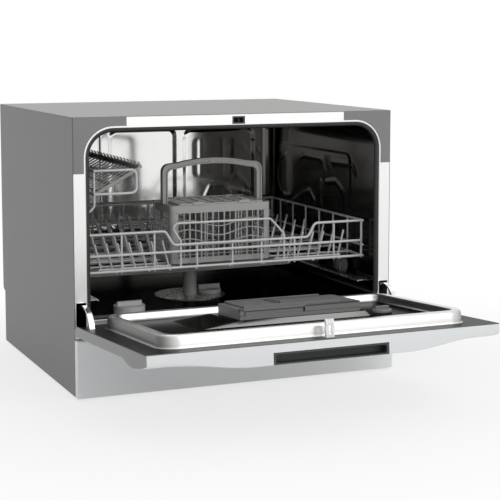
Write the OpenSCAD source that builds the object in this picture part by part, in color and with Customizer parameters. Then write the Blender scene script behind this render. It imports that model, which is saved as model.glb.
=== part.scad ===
// Countertop dishwasher with its door open, drawn in millimetres.
// Every piece is drawn from the front frame: x to the right, y to the back, z up, y = 0 on the frame's face.
// The origin is then put at the middle of the footprint.

/* [Cabinet] */
// Width over the side panels
body_w = 550; // [530:1:600]
// Height over the top panel
body_h = 438; // [434:1:470]
// Depth from the front frame to the back panel
body_d = 470; // [462:1:520]
// Thickness of the sheet of the outer panels
sheet = 1.2; // [1:0.1:1.5]
// Gap between the floor and the base pan
foot_h = 3; // [2:0.5:8]
// How far the lower part of the back stands in
rear_step = 13; // [8:1:20]
// Height at which the back steps out
rear_step_z = 96; // [85:1:110]
// Height of the kick plate's top edge
kick_top = 93; // [88:0.5:94]
// How far the kick plate stands in front of the frame
kick_out = 14; // [8:1:16]

/* [Opening] */
// Width of the front frame beside the opening
frame_side = 21; // [20.5:0.5:23]
// Lower edge of the opening
open_z0 = 122; // [121:0.5:123]
// Height of the front frame above the opening
frame_top = 18; // [14:0.5:19]
// Corner radius of the opening
open_r = 45; // [30:1:50]
// Length of each arm of the grey corner plates
corner_plate = 86; // [70:1:100]
// Thickness of the corner plates
corner_t = 0.8; // [0.6:0.1:1]
// Thickness of the seal, across its section
seal_t = 6.5; // [5:0.5:7]
// Depth of the seal along the tub
seal_d = 8; // [6:0.5:10]

/* [Tub] */
// How far the tub's wall stands in from the opening's edge
tub_in = 4; // [3:0.5:5]
// Room between the inside of the tub's back and the back panel's face
tub_back = 38; // [30:1:40]
// Wall of the tub
tub_t = 1.2; // [1:0.1:1.5]
// Height of the rails that carry the rollers
rail_z = 149.8; // [148:0.2:150]
// Width of each rail
rail_w = 22; // [18:1:24]
// Depth of the pressed ribs in the tub walls
rib_out = 1.6; // [1:0.2:2.4]

/* [Door] */
// Angle through which the door opens
door_open = 86; // [80:1:90]
// Height of the hinge axis
pivot_z = 107.5; // [107:0.5:109]
// Distance of the hinge axis in front of the frame
pivot_out = 11; // [11:0.5:12]
// Distance from the hinge axis to the inner face of the door
door_in = 9.5; // [9:0.5:10]
// Distance from the hinge axis to the outer face of the door
door_out = 7.5; // [7:0.5:9]
// Part of the door below the hinge axis
door_below = 10; // [8:0.5:10]
// Height of the control panel
panel_h = 108; // [90:1:120]
// Depth of the handle bulge, from the hinge axis outwards
bulge = 20.5; // [17:0.5:24]
// Half length of the handle bulge's flat middle
bulge_half = 120; // [100:1:150]
// Half width of the dark grip insert
grip_half = 90; // [60:1:110]
// Start of the liner's raised rim, from the hinge axis
rim_u0 = 22; // [21:0.5:26]
// Gap between the raised rim and the opening's edges
rim_gap = 9.5; // [9:0.5:14]
// Height of the raised rim over the door's inner face
rim_h = 19; // [15:0.5:19]
// Width of the rim's top ledge
rim_ledge = 14; // [10:0.5:18]
// Depth of the pan inside the rim
pan_depth = 11; // [6:0.5:12]
// Corner radius of the rim
rim_r = 34; // [20:1:40]
// Radius of the curved hinge arm
arm_r = 41; // [38:0.5:42]

/* [Rack] */
// Gap between the tub's walls and the centres of the rack's side wires
rack_gap = 6.5; // [6:0.5:12]
// Distance from the frame to the front wires when the rack is home
rack_y0 = 38; // [37:0.5:44]
// Gap between the rack's back wires and the tub's back
rack_back_gap = 18; // [14:1:50]
// Height of the bottom wires
rack_z = 189.5; // [188:0.5:194]
// Height of the front's low rim over the bottom wires
rim_low = 37; // [30:1:42]
// Height of the rims over the bottom wires
rim_high = 60; // [50:1:70]
// Height of the left rim over the bottom wires
rim_left = 71; // [60:1:76]
// Radius of the frame wires
wire_r = 2.2; // [1.8:0.1:2.5]
// Radius of the tines
tine_r = 1.7; // [1.4:0.1:2]
// Height of the tines
tine_h = 42; // [30:1:45]
// Distance between tines
tine_pitch = 19; // [17:0.5:24]
// Radius of the rollers
wheel_r = 14.7; // [13:0.1:15]
// Width of the rollers
wheel_w = 11; // [8:0.5:12]

/* [Cup shelf] */
// How far the rail on which the shelf hinges lies below the opening's upper edge
shelf_drop = 106; // [102:1:112]
// How far the upper rail lies below the opening's upper edge
cup_rail_drop = 69; // [60:1:75]
// Distance of the rails inwards from the rack's side
cup_in = 14; // [12:0.5:18]
// Width of the shelf, from its hinge to its free edge
shelf_w = 94; // [70:1:95]
// Gap between the ends of the shelf and the ends of the rack
shelf_gap = 18; // [16:1:40]
// Tilt of the lowered shelf
shelf_tilt = 28; // [15:1:35]

/* [Cutlery basket] */
// Length of the cutlery basket
cut_w = 177; // [150:1:185]
// Depth of the cutlery basket
cut_d = 87; // [70:1:95]
// Height of the cutlery basket
cut_h = 95; // [80:1:100]
// Wall of the cutlery basket
cut_t = 2; // [1.6:0.2:2.4]
// Height of the handle's top over the floor of the cutlery basket
cut_handle = 168; // [150:1:172]

/* [Spray arm] */
// Length of the spray arm, at most
spray_l = 390; // [340:1:400]
// Width of the spray arm at its hub
spray_w = 44; // [36:1:50]

/* [Buttons] */
// Diameter of the push buttons
button_d = 12; // [9:0.5:14]
// Distance between the push buttons
button_pitch = 24; // [20:1:30]

/* [Hidden] */
$fn = 48;
gap = 0.3;

steel = "#dcdcda";
panel_grey = "#6e6f6e";
panel_light = "#c9cdcd";
plastic_grey = "#9a9a97";
dark = "#3b3d3e";

body_half = body_w / 2;
inner_half = body_half - sheet;
open_half = body_half - frame_side;
open_z1 = body_h - frame_top;
tub_half = open_half - tub_in;
tub_d = body_d - tub_back;
door_above = body_h - pivot_z - 0.5;
panel_joint = door_above - panel_h;
rim_u1 = open_z1 - pivot_z - rim_gap;
rim_half = open_half - rim_gap - 0.5;
rack_half = tub_half - rack_gap;
rack_d = tub_d - rack_back_gap - rack_y0;
shelf_z = open_z1 - shelf_drop;
cup_rail_z = open_z1 - cup_rail_drop;
shelf_l = rack_d - 2 * shelf_gap;
frame_t = 1.2;
frame_z0 = kick_top + 1;
top_z = body_h - sheet;
tilt = 90 - door_open;
door_front_y = -pivot_out - door_above * cos(tilt) - bulge * sin(tilt);
mid_y = (body_d + door_front_y) / 2;

// Moves a piece from the frame's face to the middle of the footprint
module seat() translate([0, -mid_y, 0]) children();

// Puts a piece drawn on the closed door, with the hinge axis at the origin, where the open door is
module on_door() seat() translate([0, -pivot_out, pivot_z]) rotate([door_open, 0, 0]) children();

// Rectangle with round corners, from x0, y0 to x1, y1
module round_rect(x0, y0, x1, y1, r) {
    for (x = [x0 + r, x1 - r], y = [y0 + r, y1 - r]) translate([x, y]) circle(r);
    translate([x0 + r, y0]) square([x1 - x0 - 2 * r, y1 - y0]);
    translate([x0, y0 + r]) square([x1 - x0, y1 - y0 - 2 * r]);
}

// Block between two corners
module block(a, b) translate(a) cube(b - a);

// Plate drawn in x and z, standing from y0 to y1
module standing(y0, y1) translate([0, y1, 0]) rotate([90, 0, 0]) linear_extrude(y1 - y0) children();

// Plate drawn in y and z, standing from x0 to x1
module sideways(x0, x1) translate([x0, 0, 0]) rotate([90, 0, 90]) linear_extrude(x1 - x0) children();

// Both a piece on the right and its mirror on the left
module both_sides() {
    children();
    mirror([1, 0, 0]) children();
}

// Straight round wire from a to b
module rod(a, b, r) {
    d = b - a;
    l = norm(d);
    turn = atan2(d[1], d[0]);
    lean = acos(d[2] / l);
    translate(a) rotate([0, lean, turn]) cylinder(h = l, r = r);
}

function unit(v) = v / norm(v);
function angle_at(a, b, c) = acos(unit(b - a) * unit(c - b));
function cut_back(a, b, c, bend) = bend * tan(angle_at(a, b, c) / 2);

// Bend of a flat wire at point b, drawn in x and y
module wire_bend(a, b, c, r, bend) {
    into = unit(b - a);
    out = unit(c - b);
    side = sign(into[0] * out[1] - into[1] * out[0]);
    start = b - into * cut_back(a, b, c, bend);
    centre = start + side * bend * [-into[1], into[0]];
    from = atan2(start[1] - centre[1], start[0] - centre[0]);
    turn = side * angle_at(a, b, c);
    translate([centre[0], centre[1], 0]) rotate([0, 0, min(from, from + turn)])
        rotate_extrude(angle = abs(turn)) translate([bend, 0]) circle(r);
}

// Flat wire through points in x and y, with round bends
module flat_wire(points, r, bend) {
    last = len(points) - 1;
    for (i = [0 : last - 1]) {
        a = points[i];
        b = points[i + 1];
        dir = unit(b - a);
        start = i == 0 ? a : a + dir * cut_back(points[i - 1], a, b, bend);
        end = i == last - 1 ? b : b - dir * cut_back(a, b, points[i + 2], bend);
        rod([start[0], start[1], 0], [end[0], end[1], 0], r);
    }
    for (i = [1 : 1 : last - 1]) wire_bend(points[i - 1], points[i], points[i + 1], r, bend);
}

// Flat wire in x and z, at depth y
module wire_xz(points, y, r, bend) translate([0, y, 0]) rotate([90, 0, 0]) flat_wire(points, r, bend);

// Points along the round corner at b, with chords that turn by less than 35 degrees
function corner_points(a, b, c, bend) = let (
    into = unit(b - a),
    out = unit(c - b),
    side = sign(into[0] * out[1] - into[1] * out[0]),
    start = b - into * cut_back(a, b, c, bend),
    centre = start + side * bend * [-into[1], into[0]],
    from = atan2(start[1] - centre[1], start[0] - centre[0]),
    turn = side * angle_at(a, b, c),
    n = ceil(abs(turn) / 35)
) [for (i = [0 : n]) centre + bend * [cos(from + turn * i / n), sin(from + turn * i / n)]];

function chords(points, bend) = [for (i = [0 : len(points) - 1])
    each i == 0 || i == len(points) - 1 ? [points[i]]
        : corner_points(points[i - 1], points[i], points[i + 1], bend)];

// Wire in x and z at depth y that is bent in small steps
module stepped_wire(corners, y, r, bend) {
    points = chords(corners, bend);
    for (i = [0 : len(points) - 2])
        rod([points[i][0], y, points[i][1]], [points[i + 1][0], y, points[i + 1][1]], r, $fn = 10);
    for (i = [1 : len(points) - 2]) translate([points[i][0], y, points[i][1]]) sphere(1.05 * r, $fn = 10);
}

/* Cabinet */

step_r = 10;

low_back = body_d - rear_step;

// Outline of the cabinet's side, with the step of the lower back
module side_outline(top) {
    translate([0, foot_h]) square([low_back, top - foot_h]);
    translate([0, rear_step_z]) square([body_d - step_r, top - rear_step_z]);
    translate([0, rear_step_z + step_r]) square([body_d, top - rear_step_z - step_r]);
    translate([body_d - step_r, rear_step_z + step_r]) circle(step_r);
}

module side_panel() sideways(inner_half, body_half) side_outline(top_z);

module side_panel_left() color(panel_grey) seat() mirror([1, 0, 0]) side_panel();

module side_panel_right() color(panel_grey) seat() side_panel();

module top_panel() color("#a3a39e") seat() {
    block([-body_half, 0, top_z], [body_half, body_d, body_h]);
    // stiffening flanges folded down inside the side panels
    difference() {
        for (y = [frame_t + gap, body_d - 2 * sheet - gap])
            block([-inner_half + gap, y, top_z - 14], [inner_half - gap, y + sheet, top_z]);
        block([-striker_half - 1, 0, top_z - 20], [striker_half + 1, striker_d + 1, top_z - 1.5]);
    }
}

module back_panel() color(panel_grey) seat() difference() {
    sideways(-inner_half, inner_half) difference() {
        side_outline(top_z);
        translate([-sheet, sheet]) side_outline(top_z + sheet);
        translate([-1, foot_h - 1]) square([low_back - sheet + 1, rear_step_z - foot_h + 1]);
    }
    // bores for the water inlet, the drain and the mains lead
    for (p = rear_ports) translate([p[0], body_d, p[1]]) rotate([90, 0, 0]) cylinder(h = 60, r = p[2]);
}

port_z = 52;
inlet_x = body_half - 70;
drain_x = inlet_x - 55;
gland_x = -body_half + 85;
inlet_r = 13.2;
drain_r = 10;
gland_r = 9;
rear_ports = [[inlet_x, port_z, inlet_r + gap], [drain_x, port_z, drain_r + gap],
    [gland_x, port_z, gland_r + gap]];

base_wall = 2.5;
base_top = 62;
base_back = low_back - sheet - gap;

// Where the hinge brackets and the ends of the springs stand on the base pan
post_x = body_half - 19;
post_spans = [[10, 44], [152, 164]];

module base_pan() color(dark) seat() difference() {
    union() {
        difference() {
            block([-inner_half + gap, gap, foot_h], [inner_half - gap, base_back, base_top]);
            block([-inner_half + gap + base_wall, gap + base_wall, foot_h + base_wall],
                [inner_half - gap - base_wall, base_back - base_wall, base_top + 1]);
        }
        both_sides() for (s = post_spans)
            block([post_x, s[0], foot_h], [inner_half - gap, s[1], base_top]);
    }
    for (p = rear_ports) translate([p[0], body_d, p[1]]) rotate([90, 0, 0])
        cylinder(h = 60, r = p[2]);
    for (p = foot_places) translate([p[0], p[1], 0]) cylinder(h = 20, r = foot_stem_r + gap);
}

foot_r = 14;
foot_stem_r = 4;
foot_places = [for (x = [-1, 1], y = [32, body_d - 60]) [x * (body_half - 38), y]];

module feet() color(dark) seat() for (p = foot_places) translate([p[0], p[1], 0]) {
    cylinder(h = foot_h, r = foot_r);
    cylinder(h = foot_h + 14, r = foot_stem_r);
}

module kick_plate() color(panel_light) seat() difference() {
    block([-body_half, -kick_out, foot_h], [body_half, 0, kick_top]);
    block([-body_half + sheet, -kick_out + sheet, foot_h - 1],
        [body_half - sheet, 1, kick_top - sheet]);
}

/* Front of the cabinet */

slot_x0 = open_half + 2;
slot_x1 = body_half - 3;
slot_z0 = 97;
slot_z1 = pivot_z + arm_r + 2;
striker_half = 11;
striker_z0 = open_z1 + 1.5;
striker_h = 12.5;
striker_d = 30;

low_r = 12;

// Outline with large upper and small lower corners
module arch(half, z0, z1, r_up, r_low) {
    mid = (z0 + z1) / 2;
    round_rect(-half, mid - r_up, half, z1, r_up);
    round_rect(-half, z0, half, mid + r_low, r_low);
}

module opening(grow = 0)
    arch(open_half + grow, open_z0 - grow, open_z1 + grow, open_r + grow, low_r + grow);

module front_frame() color(steel) seat() standing(0, frame_t) difference() {
    translate([-inner_half, frame_z0]) square([2 * inner_half, top_z - frame_z0]);
    opening();
    for (s = [-1, 1]) translate([s > 0 ? slot_x0 : -slot_x1, slot_z0])
        square([slot_x1 - slot_x0, slot_z1 - slot_z0]);
    translate([-striker_half, striker_z0]) square([2 * striker_half, striker_h]);
}

module corner_plates() color("#7f8182") seat() both_sides() standing(-corner_t, 0) difference() {
    translate([inner_half - corner_plate, top_z - corner_plate])
        square([corner_plate, corner_plate]);
    opening(gap);
}

module latch_striker() color(dark) seat() difference() {
    block([-striker_half + gap, 0, striker_z0 + gap],
        [striker_half - gap, striker_d, striker_z0 + striker_h - gap]);
    block([-striker_half + 1.8, -1, striker_z0 + 1.3],
        [striker_half - 1.8, striker_d - 1.5, striker_z0 + striker_h - 1.3]);
}

/* Tub */

tub_y0 = frame_t + seal_d;
rib_w = 9;
wall_ribs = [for (k = [0.2, 0.3, 0.64, 0.74]) k * tub_d];
rib_z0 = open_z0 + 56;
rib_z1 = open_z1 - 54;
tub_low = 108;

// Section of the tub, at its inside or grown by its wall
module tub_section(grow)
    arch(tub_half + grow, open_z0 - grow, open_z1 + grow, open_r + grow, low_r + grow);

// The hole in the tub's bottom that the floor tray fills
floor_half = tub_half - 24;
floor_y0 = tub_y0 + 14;
floor_y1 = tub_d - 24;

module tub_shell() color(steel) seat() difference() {
    union() {
        standing(tub_y0, tub_d + tub_t) tub_section(tub_t);
        both_sides() for (y = wall_ribs)
            block([tub_half, y, rib_z0], [tub_half + tub_t + rib_out, y + rib_w, rib_z1]);
    }
    standing(tub_y0 - 1, tub_d) tub_section(0);
    both_sides() for (y = wall_ribs)
        block([tub_half - 1, y + tub_t, rib_z0 + tub_t], [tub_half + rib_out, y + rib_w - tub_t, rib_z1 - tub_t]);
    block([-floor_half, floor_y0, open_z0 - 20], [floor_half, floor_y1, open_z0 + 4]);
}

sump_r = 62;
sump_y = tub_d * 225 / 432;
salt_x = -tub_half * 0.6;
salt_y = 110;
salt_r = 26;

module tub_floor() color(steel) seat() difference() {
    block([-floor_half + gap, floor_y0 + gap, tub_low - tub_t],
        [floor_half - gap, floor_y1 - gap, open_z0]);
    block([-floor_half + gap + tub_t, floor_y0 + gap + tub_t, tub_low],
        [floor_half - gap - tub_t, floor_y1 - gap - tub_t, open_z0 + 1]);
    translate([0, sump_y, tub_low - 5]) cylinder(h = 10, r = sump_r + gap);
    translate([salt_x, salt_y, tub_low - 5]) cylinder(h = 10, r = salt_r - 4.7);
}

module door_seal() color("#2b2b2b") seat() standing(frame_t, frame_t + seal_d - gap) difference() {
    opening(-gap);
    opening(-seal_t);
}

module basket_rails() color(steel) seat() both_sides()
    block([tub_half - rail_w, 24, rail_z - 3.5], [tub_half, tub_d - 8, rail_z]);

/* Hinges */

arm_x0 = body_half - 17.5;
arm_x1 = body_half - 9.5;
arm_t = 3;
ear_x0 = body_half - 8;
ear_x1 = body_half - 4.5;
pin_r = 3;
hub_r = 5.5;
arm_tail = 16;

module hinge_brackets() color("#b9bab8") seat() both_sides() {
    // ear that stands out through the slot
    sideways(ear_x0, ear_x1) {
        translate([-pivot_out, pivot_z]) circle(hub_r);
        translate([-pivot_out, pivot_z - hub_r]) square([40 + pivot_out, 2 * hub_r]);
        translate([12, base_top]) square([28, pivot_z - base_top]);
    }
    // foot that stands on its post in the base pan
    block([post_x + 2, 12, base_top], [ear_x1, 40, base_top + 3]);
    translate([arm_x0, -pivot_out, pivot_z]) rotate([0, 90, 0]) cylinder(h = ear_x1 - arm_x0, r = pin_r);
}

spring_r = 5.5;
spring_z = 78;

module hinge_springs() color("#8b8c8b") seat() both_sides() {
    translate([ear_x0 - 7, 60, spring_z]) rotate([-90, 0, 0]) {
        for (i = [0 : 11]) translate([0, 0, i * 8]) cylinder(h = 5, r = spring_r);
        cylinder(h = 96, r = spring_r - 1.5);
    }
    // hook at the bracket and eye on its post in the base pan
    block([ear_x0 - 8.5, 30, spring_z - 1.5], [ear_x0 - 5.5, 60, spring_z + 1.5]);
    block([ear_x0 - 8.5, 30, spring_z - 1.5], [ear_x0, 33, spring_z + 1.5]);
    block([ear_x0 - 8.5, 155, base_top], [ear_x0 - 5.5, 158, spring_z]);
}

module hinge_arms() color("#d5d6d4") on_door() both_sides() difference() {
    union() {
        // plate inside the door, around the hinge pin
        sideways(arm_x0, arm_x0 + arm_t) {
            circle(hub_r);
            translate([-3, 0]) square([door_in - sheet - gap + 3, 60]);
        }
        // curved arm that runs into the cabinet
        sideways(arm_x0, arm_x1) intersection() {
            difference() {
                circle(arm_r);
                circle(arm_r - 3);
            }
            translate([-1, -arm_tail]) square([arm_r + 2, arm_r + arm_tail + 2]);
        }
        sideways(arm_x0, arm_x0 + arm_t) intersection() {
            circle(arm_r - 1);
            translate([0, 24]) square([door_in + 22, 20]);
        }
    }
    translate([arm_x0 - 1, 0, 0]) rotate([0, 90, 0]) cylinder(h = 20, r = pin_r + 0.06);
}

/* Door, drawn closed: y from the hinge axis inwards, z from the hinge axis upwards */

chamfer = 7;
skin = 1.2;
notch_u = 14;
liner_y0 = door_in - skin;

// Room for the hinge ears at the door's lower inner corner
module ear_notches() both_sides()
    block([slot_x0 - 1, -hub_r - 1, -door_below - 2], [slot_x1 + 0.6, door_in + 2, notch_u]);

module door_panel() color(panel_light) on_door() difference() {
    block([-body_half, -door_out, -door_below], [body_half, liner_y0, panel_joint]);
    block([-body_half + skin, -door_out + skin, -door_below + skin],
        [body_half - skin, liner_y0 + 1, panel_joint + 1]);
    translate([0, liner_y0, -door_below]) rotate([45, 0, 0])
        cube([body_w + 2, 2 * chamfer, 1.42 * (chamfer - skin)], center = true);
    ear_notches();
}

// Outline of the control panel's side, as y and z
panel_side = [[liner_y0, panel_joint], [-door_out, panel_joint], [-13.5, panel_joint + 22],
    [-16, panel_joint + 40], [-16.5, panel_joint + 50], [-15.2, panel_joint + 68],
    [-12, panel_joint + 88], [-7, door_above], [liner_y0, door_above]];
// The same at the handle bulge
handle_side = [[liner_y0, panel_joint], [-door_out, panel_joint], [-14.5, panel_joint + 22],
    [-18.5, panel_joint + 44], [-bulge - 1, panel_joint + 70], [-bulge - 1, panel_joint + 90],
    [-bulge, door_above], [liner_y0, door_above]];

// Plan of the handle bulge, as x and y, with long round shoulders
module bulge_plan() {
    round_rect(-bulge_half, -bulge - 1, bulge_half, liner_y0, 3);
    polygon(concat([[bulge_half + 130, liner_y0], [-bulge_half - 130, liner_y0]],
        [for (s = [-1, 1], t = [0 : 0.1 : 1]) let (k = s < 0 ? 1 - t : t)
            [s * (bulge_half - 10 + 135 * k), -bulge - 1 + (bulge - 5.5) * (1 - cos(180 * k)) / 2]]));
}

module panel_solid() {
    sideways(-body_half, body_half) polygon(panel_side);
    intersection() {
        sideways(-body_half, body_half) polygon(handle_side);
        translate([0, 0, panel_joint]) linear_extrude(door_above - panel_joint) bulge_plan();
    }
}

grip_u = door_above - 24;
grip_top = -3.4;
button_u = panel_joint + 48;
button_x0 = 176;
window_x0 = -60;
window_x1 = 60;
window_u0 = panel_joint + 34;
window_u1 = panel_joint + 54;

module control_panel() color(panel_light) on_door() difference() {
    panel_solid();
    // hollow for the control board, closed by the liner's flange
    block([-body_half + 4, -10, panel_joint + 14], [body_half - 4, liner_y0 + 1, grip_u - 4]);
    block([-grip_half - gap, -bulge - 3, grip_u - gap],
        [grip_half + gap, grip_top + gap, door_above + 1]);
    block([window_x0 - gap, -40, window_u0 - gap], [window_x1 + gap, 0, window_u1 + gap]);
    for (i = [0 : 2]) translate([button_x0 + i * button_pitch, 0, button_u]) rotate([90, 0, 0])
        cylinder(h = 40, r = button_d / 2 + gap);
}

module grip_insert() color(dark) on_door() difference() {
    block([-grip_half, -bulge + 0.2, grip_u], [grip_half, grip_top, door_above]);
    block([-grip_half + 5, -bulge + 3, grip_u + 4], [grip_half - 5, grip_top - 3, door_above + 1]);
}

window_face = -16.5;

module display_window() color(dark) on_door()
    block([window_x0, window_face, window_u0], [window_x1, -9, window_u1]);

module control_board() color("#2f6b45") on_door() {
    block([-body_half + 30, -1, panel_joint + 18], [body_half - 30, 0.6, grip_u - 8]);
    // standoffs up to the liner
    for (x = [-body_half + 36, 0, body_half - 36])
        translate([x, 0.6, panel_joint + 24]) rotate([-90, 0, 0]) cylinder(h = liner_y0 - 0.6, r = 3);
}

button_face = -17.6;
button_stop = -2.6;

// Push button with a collar behind the panel, and the stem of its switch
module button(i) translate([button_x0 + i * button_pitch, 0, button_u]) rotate([-90, 0, 0]) {
    translate([0, 0, button_face]) cylinder(h = -9.6 - button_face, r = button_d / 2);
    translate([0, 0, -9.6]) cylinder(h = 1.6, r = button_d / 2 + 2);
    translate([0, 0, -8]) cylinder(h = 8 + button_stop - 1.5, r = 2.5);
}

module button_power() color(dark) on_door() button(0);

module button_program() color(dark) on_door() button(1);

module button_start() color(dark) on_door() button(2);

rim_y = door_in + rim_h;
pan_y = rim_y - pan_depth;
hook_x0 = -5;
hook_x1 = 8;
dispenser = [-79, 119];
dispenser_u = [92, 186];
dispenser_y = 44;
cap_x = 162;
cap_u = 176;
cap_r = 15;

// Rounded plate on the door, as x and z, from y0 to y1
module on_face(y0, y1) translate([0, y1, 0]) rotate([90, 0, 0]) linear_extrude(y1 - y0) children();

module door_liner() color(steel) on_door() difference() {
    union() {
        block([-body_half, liner_y0, -door_below + 2], [body_half, door_in, door_above]);
        on_face(door_in - 0.1, rim_y) round_rect(-rim_half, rim_u0, rim_half, rim_u1, rim_r);
    }
    on_face(pan_y, rim_y + 1) round_rect(-rim_half + rim_ledge, rim_u0 + rim_ledge,
        rim_half - rim_ledge, rim_u1 - rim_ledge, rim_r - rim_ledge);
    // hollow underside of the pressing
    on_face(liner_y0 - 1, pan_y - skin) round_rect(-rim_half + 2, rim_u0 + 2,
        rim_half - 2, rim_u1 - 2, rim_r - 2);
    translate([0, liner_y0, -door_below]) rotate([45, 0, 0])
        cube([body_w + 2, 2 * chamfer, 1.42 * chamfer], center = true);
    ear_notches();
    // slots for the curved arms
    both_sides() block([arm_x0 - gap, liner_y0 - 1, notch_u - 1], [arm_x1 + gap, door_in + 1, arm_r + 2]);
    translate([cap_x, pan_y - skin - 1, cap_u]) rotate([-90, 0, 0]) cylinder(h = 10, r = cap_r - 4);
}

hook_u = striker_z0 + 2.3 - pivot_z;
hook_tip = 36;

// Hook drawn from its side, as y and z
module latch_hook() color("#e6e6e4") on_door() {
    sideways(hook_x0, hook_x1) polygon([[door_in, hook_u - 6], [door_in, hook_u + 6],
        [hook_tip - 9, hook_u + 4.5], [hook_tip - 9, hook_u + 6.2], [hook_tip - 5, hook_u + 6.2],
        [hook_tip, hook_u + 3], [hook_tip, hook_u + 1.5], [hook_tip - 4, hook_u],
        [door_in + 1, hook_u], [door_in + 1, hook_u - 6]]);
}

cup = [dispenser[0] + 14, dispenser[0] + 84];
cup_u = [dispenser_u[0] + 16, dispenser_u[1] - 16];
lid_travel = 74;

module dispenser_body() color(plastic_grey) on_door() difference() {
    union() {
        on_face(pan_y, dispenser_y - 4)
            round_rect(dispenser[0], dispenser_u[0], dispenser[1], dispenser_u[1], 8);
        // guides that hold the sliding lid
        for (u = [cup_u[0] - 8, cup_u[1] + 4]) on_face(dispenser_y - 4.1, dispenser_y)
            translate([cup[0] - 4, u]) square([cup[1] - cup[0] + lid_travel + 12, 4]);
    }
    on_face(pan_y + 2, dispenser_y + 1) round_rect(cup[0], cup_u[0], cup[1], cup_u[1], 8);
    // recess in the front face
    block([dispenser[0] + 8, dispenser_y - 14, dispenser_u[1] - 2],
        [dispenser[0] + 105, dispenser_y - 7, dispenser_u[1] + 1]);
}

module dispenser_lid() color("#a9a9a6") on_door() {
    on_face(dispenser_y - 4 + gap, dispenser_y - 1.6)
        round_rect(cup[0] - 3, cup_u[0] - 3.6, cup[1] + 3, cup_u[1] + 3.6, 3);
    // finger rib
    on_face(dispenser_y - 1.7, dispenser_y + 1) translate([cup[1] - 12, cup_u[0] + 6])
        square([5, cup_u[1] - cup_u[0] - 12]);
}

module rinse_cap() color("#c9c9c6") on_door() translate([cap_x, pan_y, cap_u]) rotate([-90, 0, 0]) {
    translate([0, 0, -skin - 3]) cylinder(h = skin + 3 + gap, r = cap_r - 5);
    translate([0, 0, gap]) cylinder(h = 5, r = cap_r);
    translate([-cap_r + 3, -2, 5]) cube([2 * cap_r - 6, 4, 5]);
}

/* Rack, drawn home: its front wires are rack_y0 behind the frame */

rack_y1 = rack_y0 + rack_d;
weld = 1.2;
bend = 7;
post_r = wire_r - 0.15;
low_z = rack_z + rim_low;
high_z = rack_z + rim_high;
mid_z = rack_z + 26;
left_z = rack_z + rim_left;
cut_x0 = -0.55 * cut_w + 0.35;
cut_x1 = cut_x0 + cut_w;
dip_x0 = cut_x0 - 15;
dip_x1 = cut_x1 + 74;
loop_z = rack_z + 71.5;
front_posts = [for (x = [-185, -130, -57, 5, 57, 117, 190]) x * rack_half / 243.5];
side_posts = [0.14, 0.29, 0.44, 0.59, 0.74, 0.89];

module rack_front() color(panel_light) seat() {
    // low rim, raised at both ends
    stepped_wire([[-rack_half + weld, high_z], [dip_x0, high_z], [dip_x0 + 14, low_z], [dip_x1 - 13, low_z],
        [dip_x1, high_z], [rack_half - weld, high_z]], rack_y0, wire_r, bend);
    rod([-rack_half + weld, rack_y0, mid_z], [rack_half - weld, rack_y0, mid_z], wire_r);
    rod([-rack_half + weld, rack_y0, rack_z], [rack_half - weld, rack_y0, rack_z], wire_r);
    // raised loop that keeps the cutlery basket in
    stepped_wire([[cut_x0 + 12, rack_z], [cut_x0 + 12, low_z + 6], [cut_x0 - 7, loop_z], [cut_x1 - 7, loop_z],
        [cut_x1 + 18, low_z + 8], [cut_x1 + 18, rack_z]],
        rack_y0 + weld, wire_r - 0.3, bend);
    for (x = front_posts) rod([x, rack_y0 + weld, rack_z], [x, rack_y0 + weld,
        x > dip_x0 && x < dip_x1 ? low_z : high_z], tine_r);
}

// Side of the rack between the front and back wires
module rack_side(top) {
    for (z = [rack_z, mid_z - 8, top]) rod([rack_half, rack_y0, z], [rack_half, rack_y1, z], wire_r);
    for (k = side_posts) {
        y = rack_y0 + k * rack_d;
        rod([rack_half - weld, y, rack_z], [rack_half - weld, y, top], tine_r);
    }
    rod([rack_half - weld, rack_y1 - weld, rack_z], [rack_half - weld, rack_y1 - weld, top], post_r);
}

module rack_right() color(panel_light) seat() {
    rack_side(high_z);
    rod([rack_half - weld, rack_y0 + weld, rack_z], [rack_half - weld, rack_y0 + weld, high_z], post_r);
}

rail_x = -rack_half + cup_in;
post_ys = [rack_y0 + weld, rack_y0 + 0.36 * rack_d, rack_y0 + 0.79 * rack_d];
post_x0 = -rack_half + weld;

module rack_left() color(panel_light) seat() {
    mirror([1, 0, 0]) rack_side(left_z);
    // posts that jog inwards and carry the cup rail
    for (y = post_ys) stepped_wire([[post_x0, rack_z], [post_x0, rack_z + 92],
        [rail_x, rack_z + 105], [rail_x, cup_rail_z]], y, post_r, 6);
}

loop_x = rail_x + 70;
rail_ys = [rack_y0, rack_y0 + 0.97 * rack_d];
back_pitch = (rack_half - 3.5) / 4;

module cup_rail() color(panel_light) seat() {
    for (z = [shelf_z, cup_rail_z]) rod([rail_x, rail_ys[0], z], [rail_x, rail_ys[1], z], wire_r);
    for (y = rail_ys)
        wire_xz([[rail_x, shelf_z], [loop_x, shelf_z], [loop_x, cup_rail_z], [rail_x, cup_rail_z]],
            y, wire_r, 9);
}

module rack_back() color(panel_light) seat() {
    for (z = [rack_z, mid_z, high_z])
        rod([-rack_half + weld, rack_y1, z], [rack_half - weld, rack_y1, z], wire_r);
    for (i = [-3 : 3]) let (x = i * back_pitch)
        rod([x, rack_y1 - weld, rack_z], [x, rack_y1 - weld, high_z], tine_r);
}

floor_xs = [for (x = [-195, -140, -105, -60, 0, 60, 105, 150, 200]) x * rack_half / 243.5];
floor_ys = [0.12, 0.3, 0.5, 0.7, 0.88];

// The long wires lie just under the cross wires
floor_low_z = rack_z + weld - 2 * tine_r - 0.02;

module rack_floor() color(panel_light) seat() {
    for (x = floor_xs) rod([x, rack_y0, floor_low_z], [x, rack_y1, floor_low_z], tine_r);
    for (k = floor_ys) {
        y = rack_y0 + k * rack_d;
        rod([-rack_half, y, rack_z + weld], [rack_half, y, rack_z + weld], tine_r);
    }
}

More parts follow.
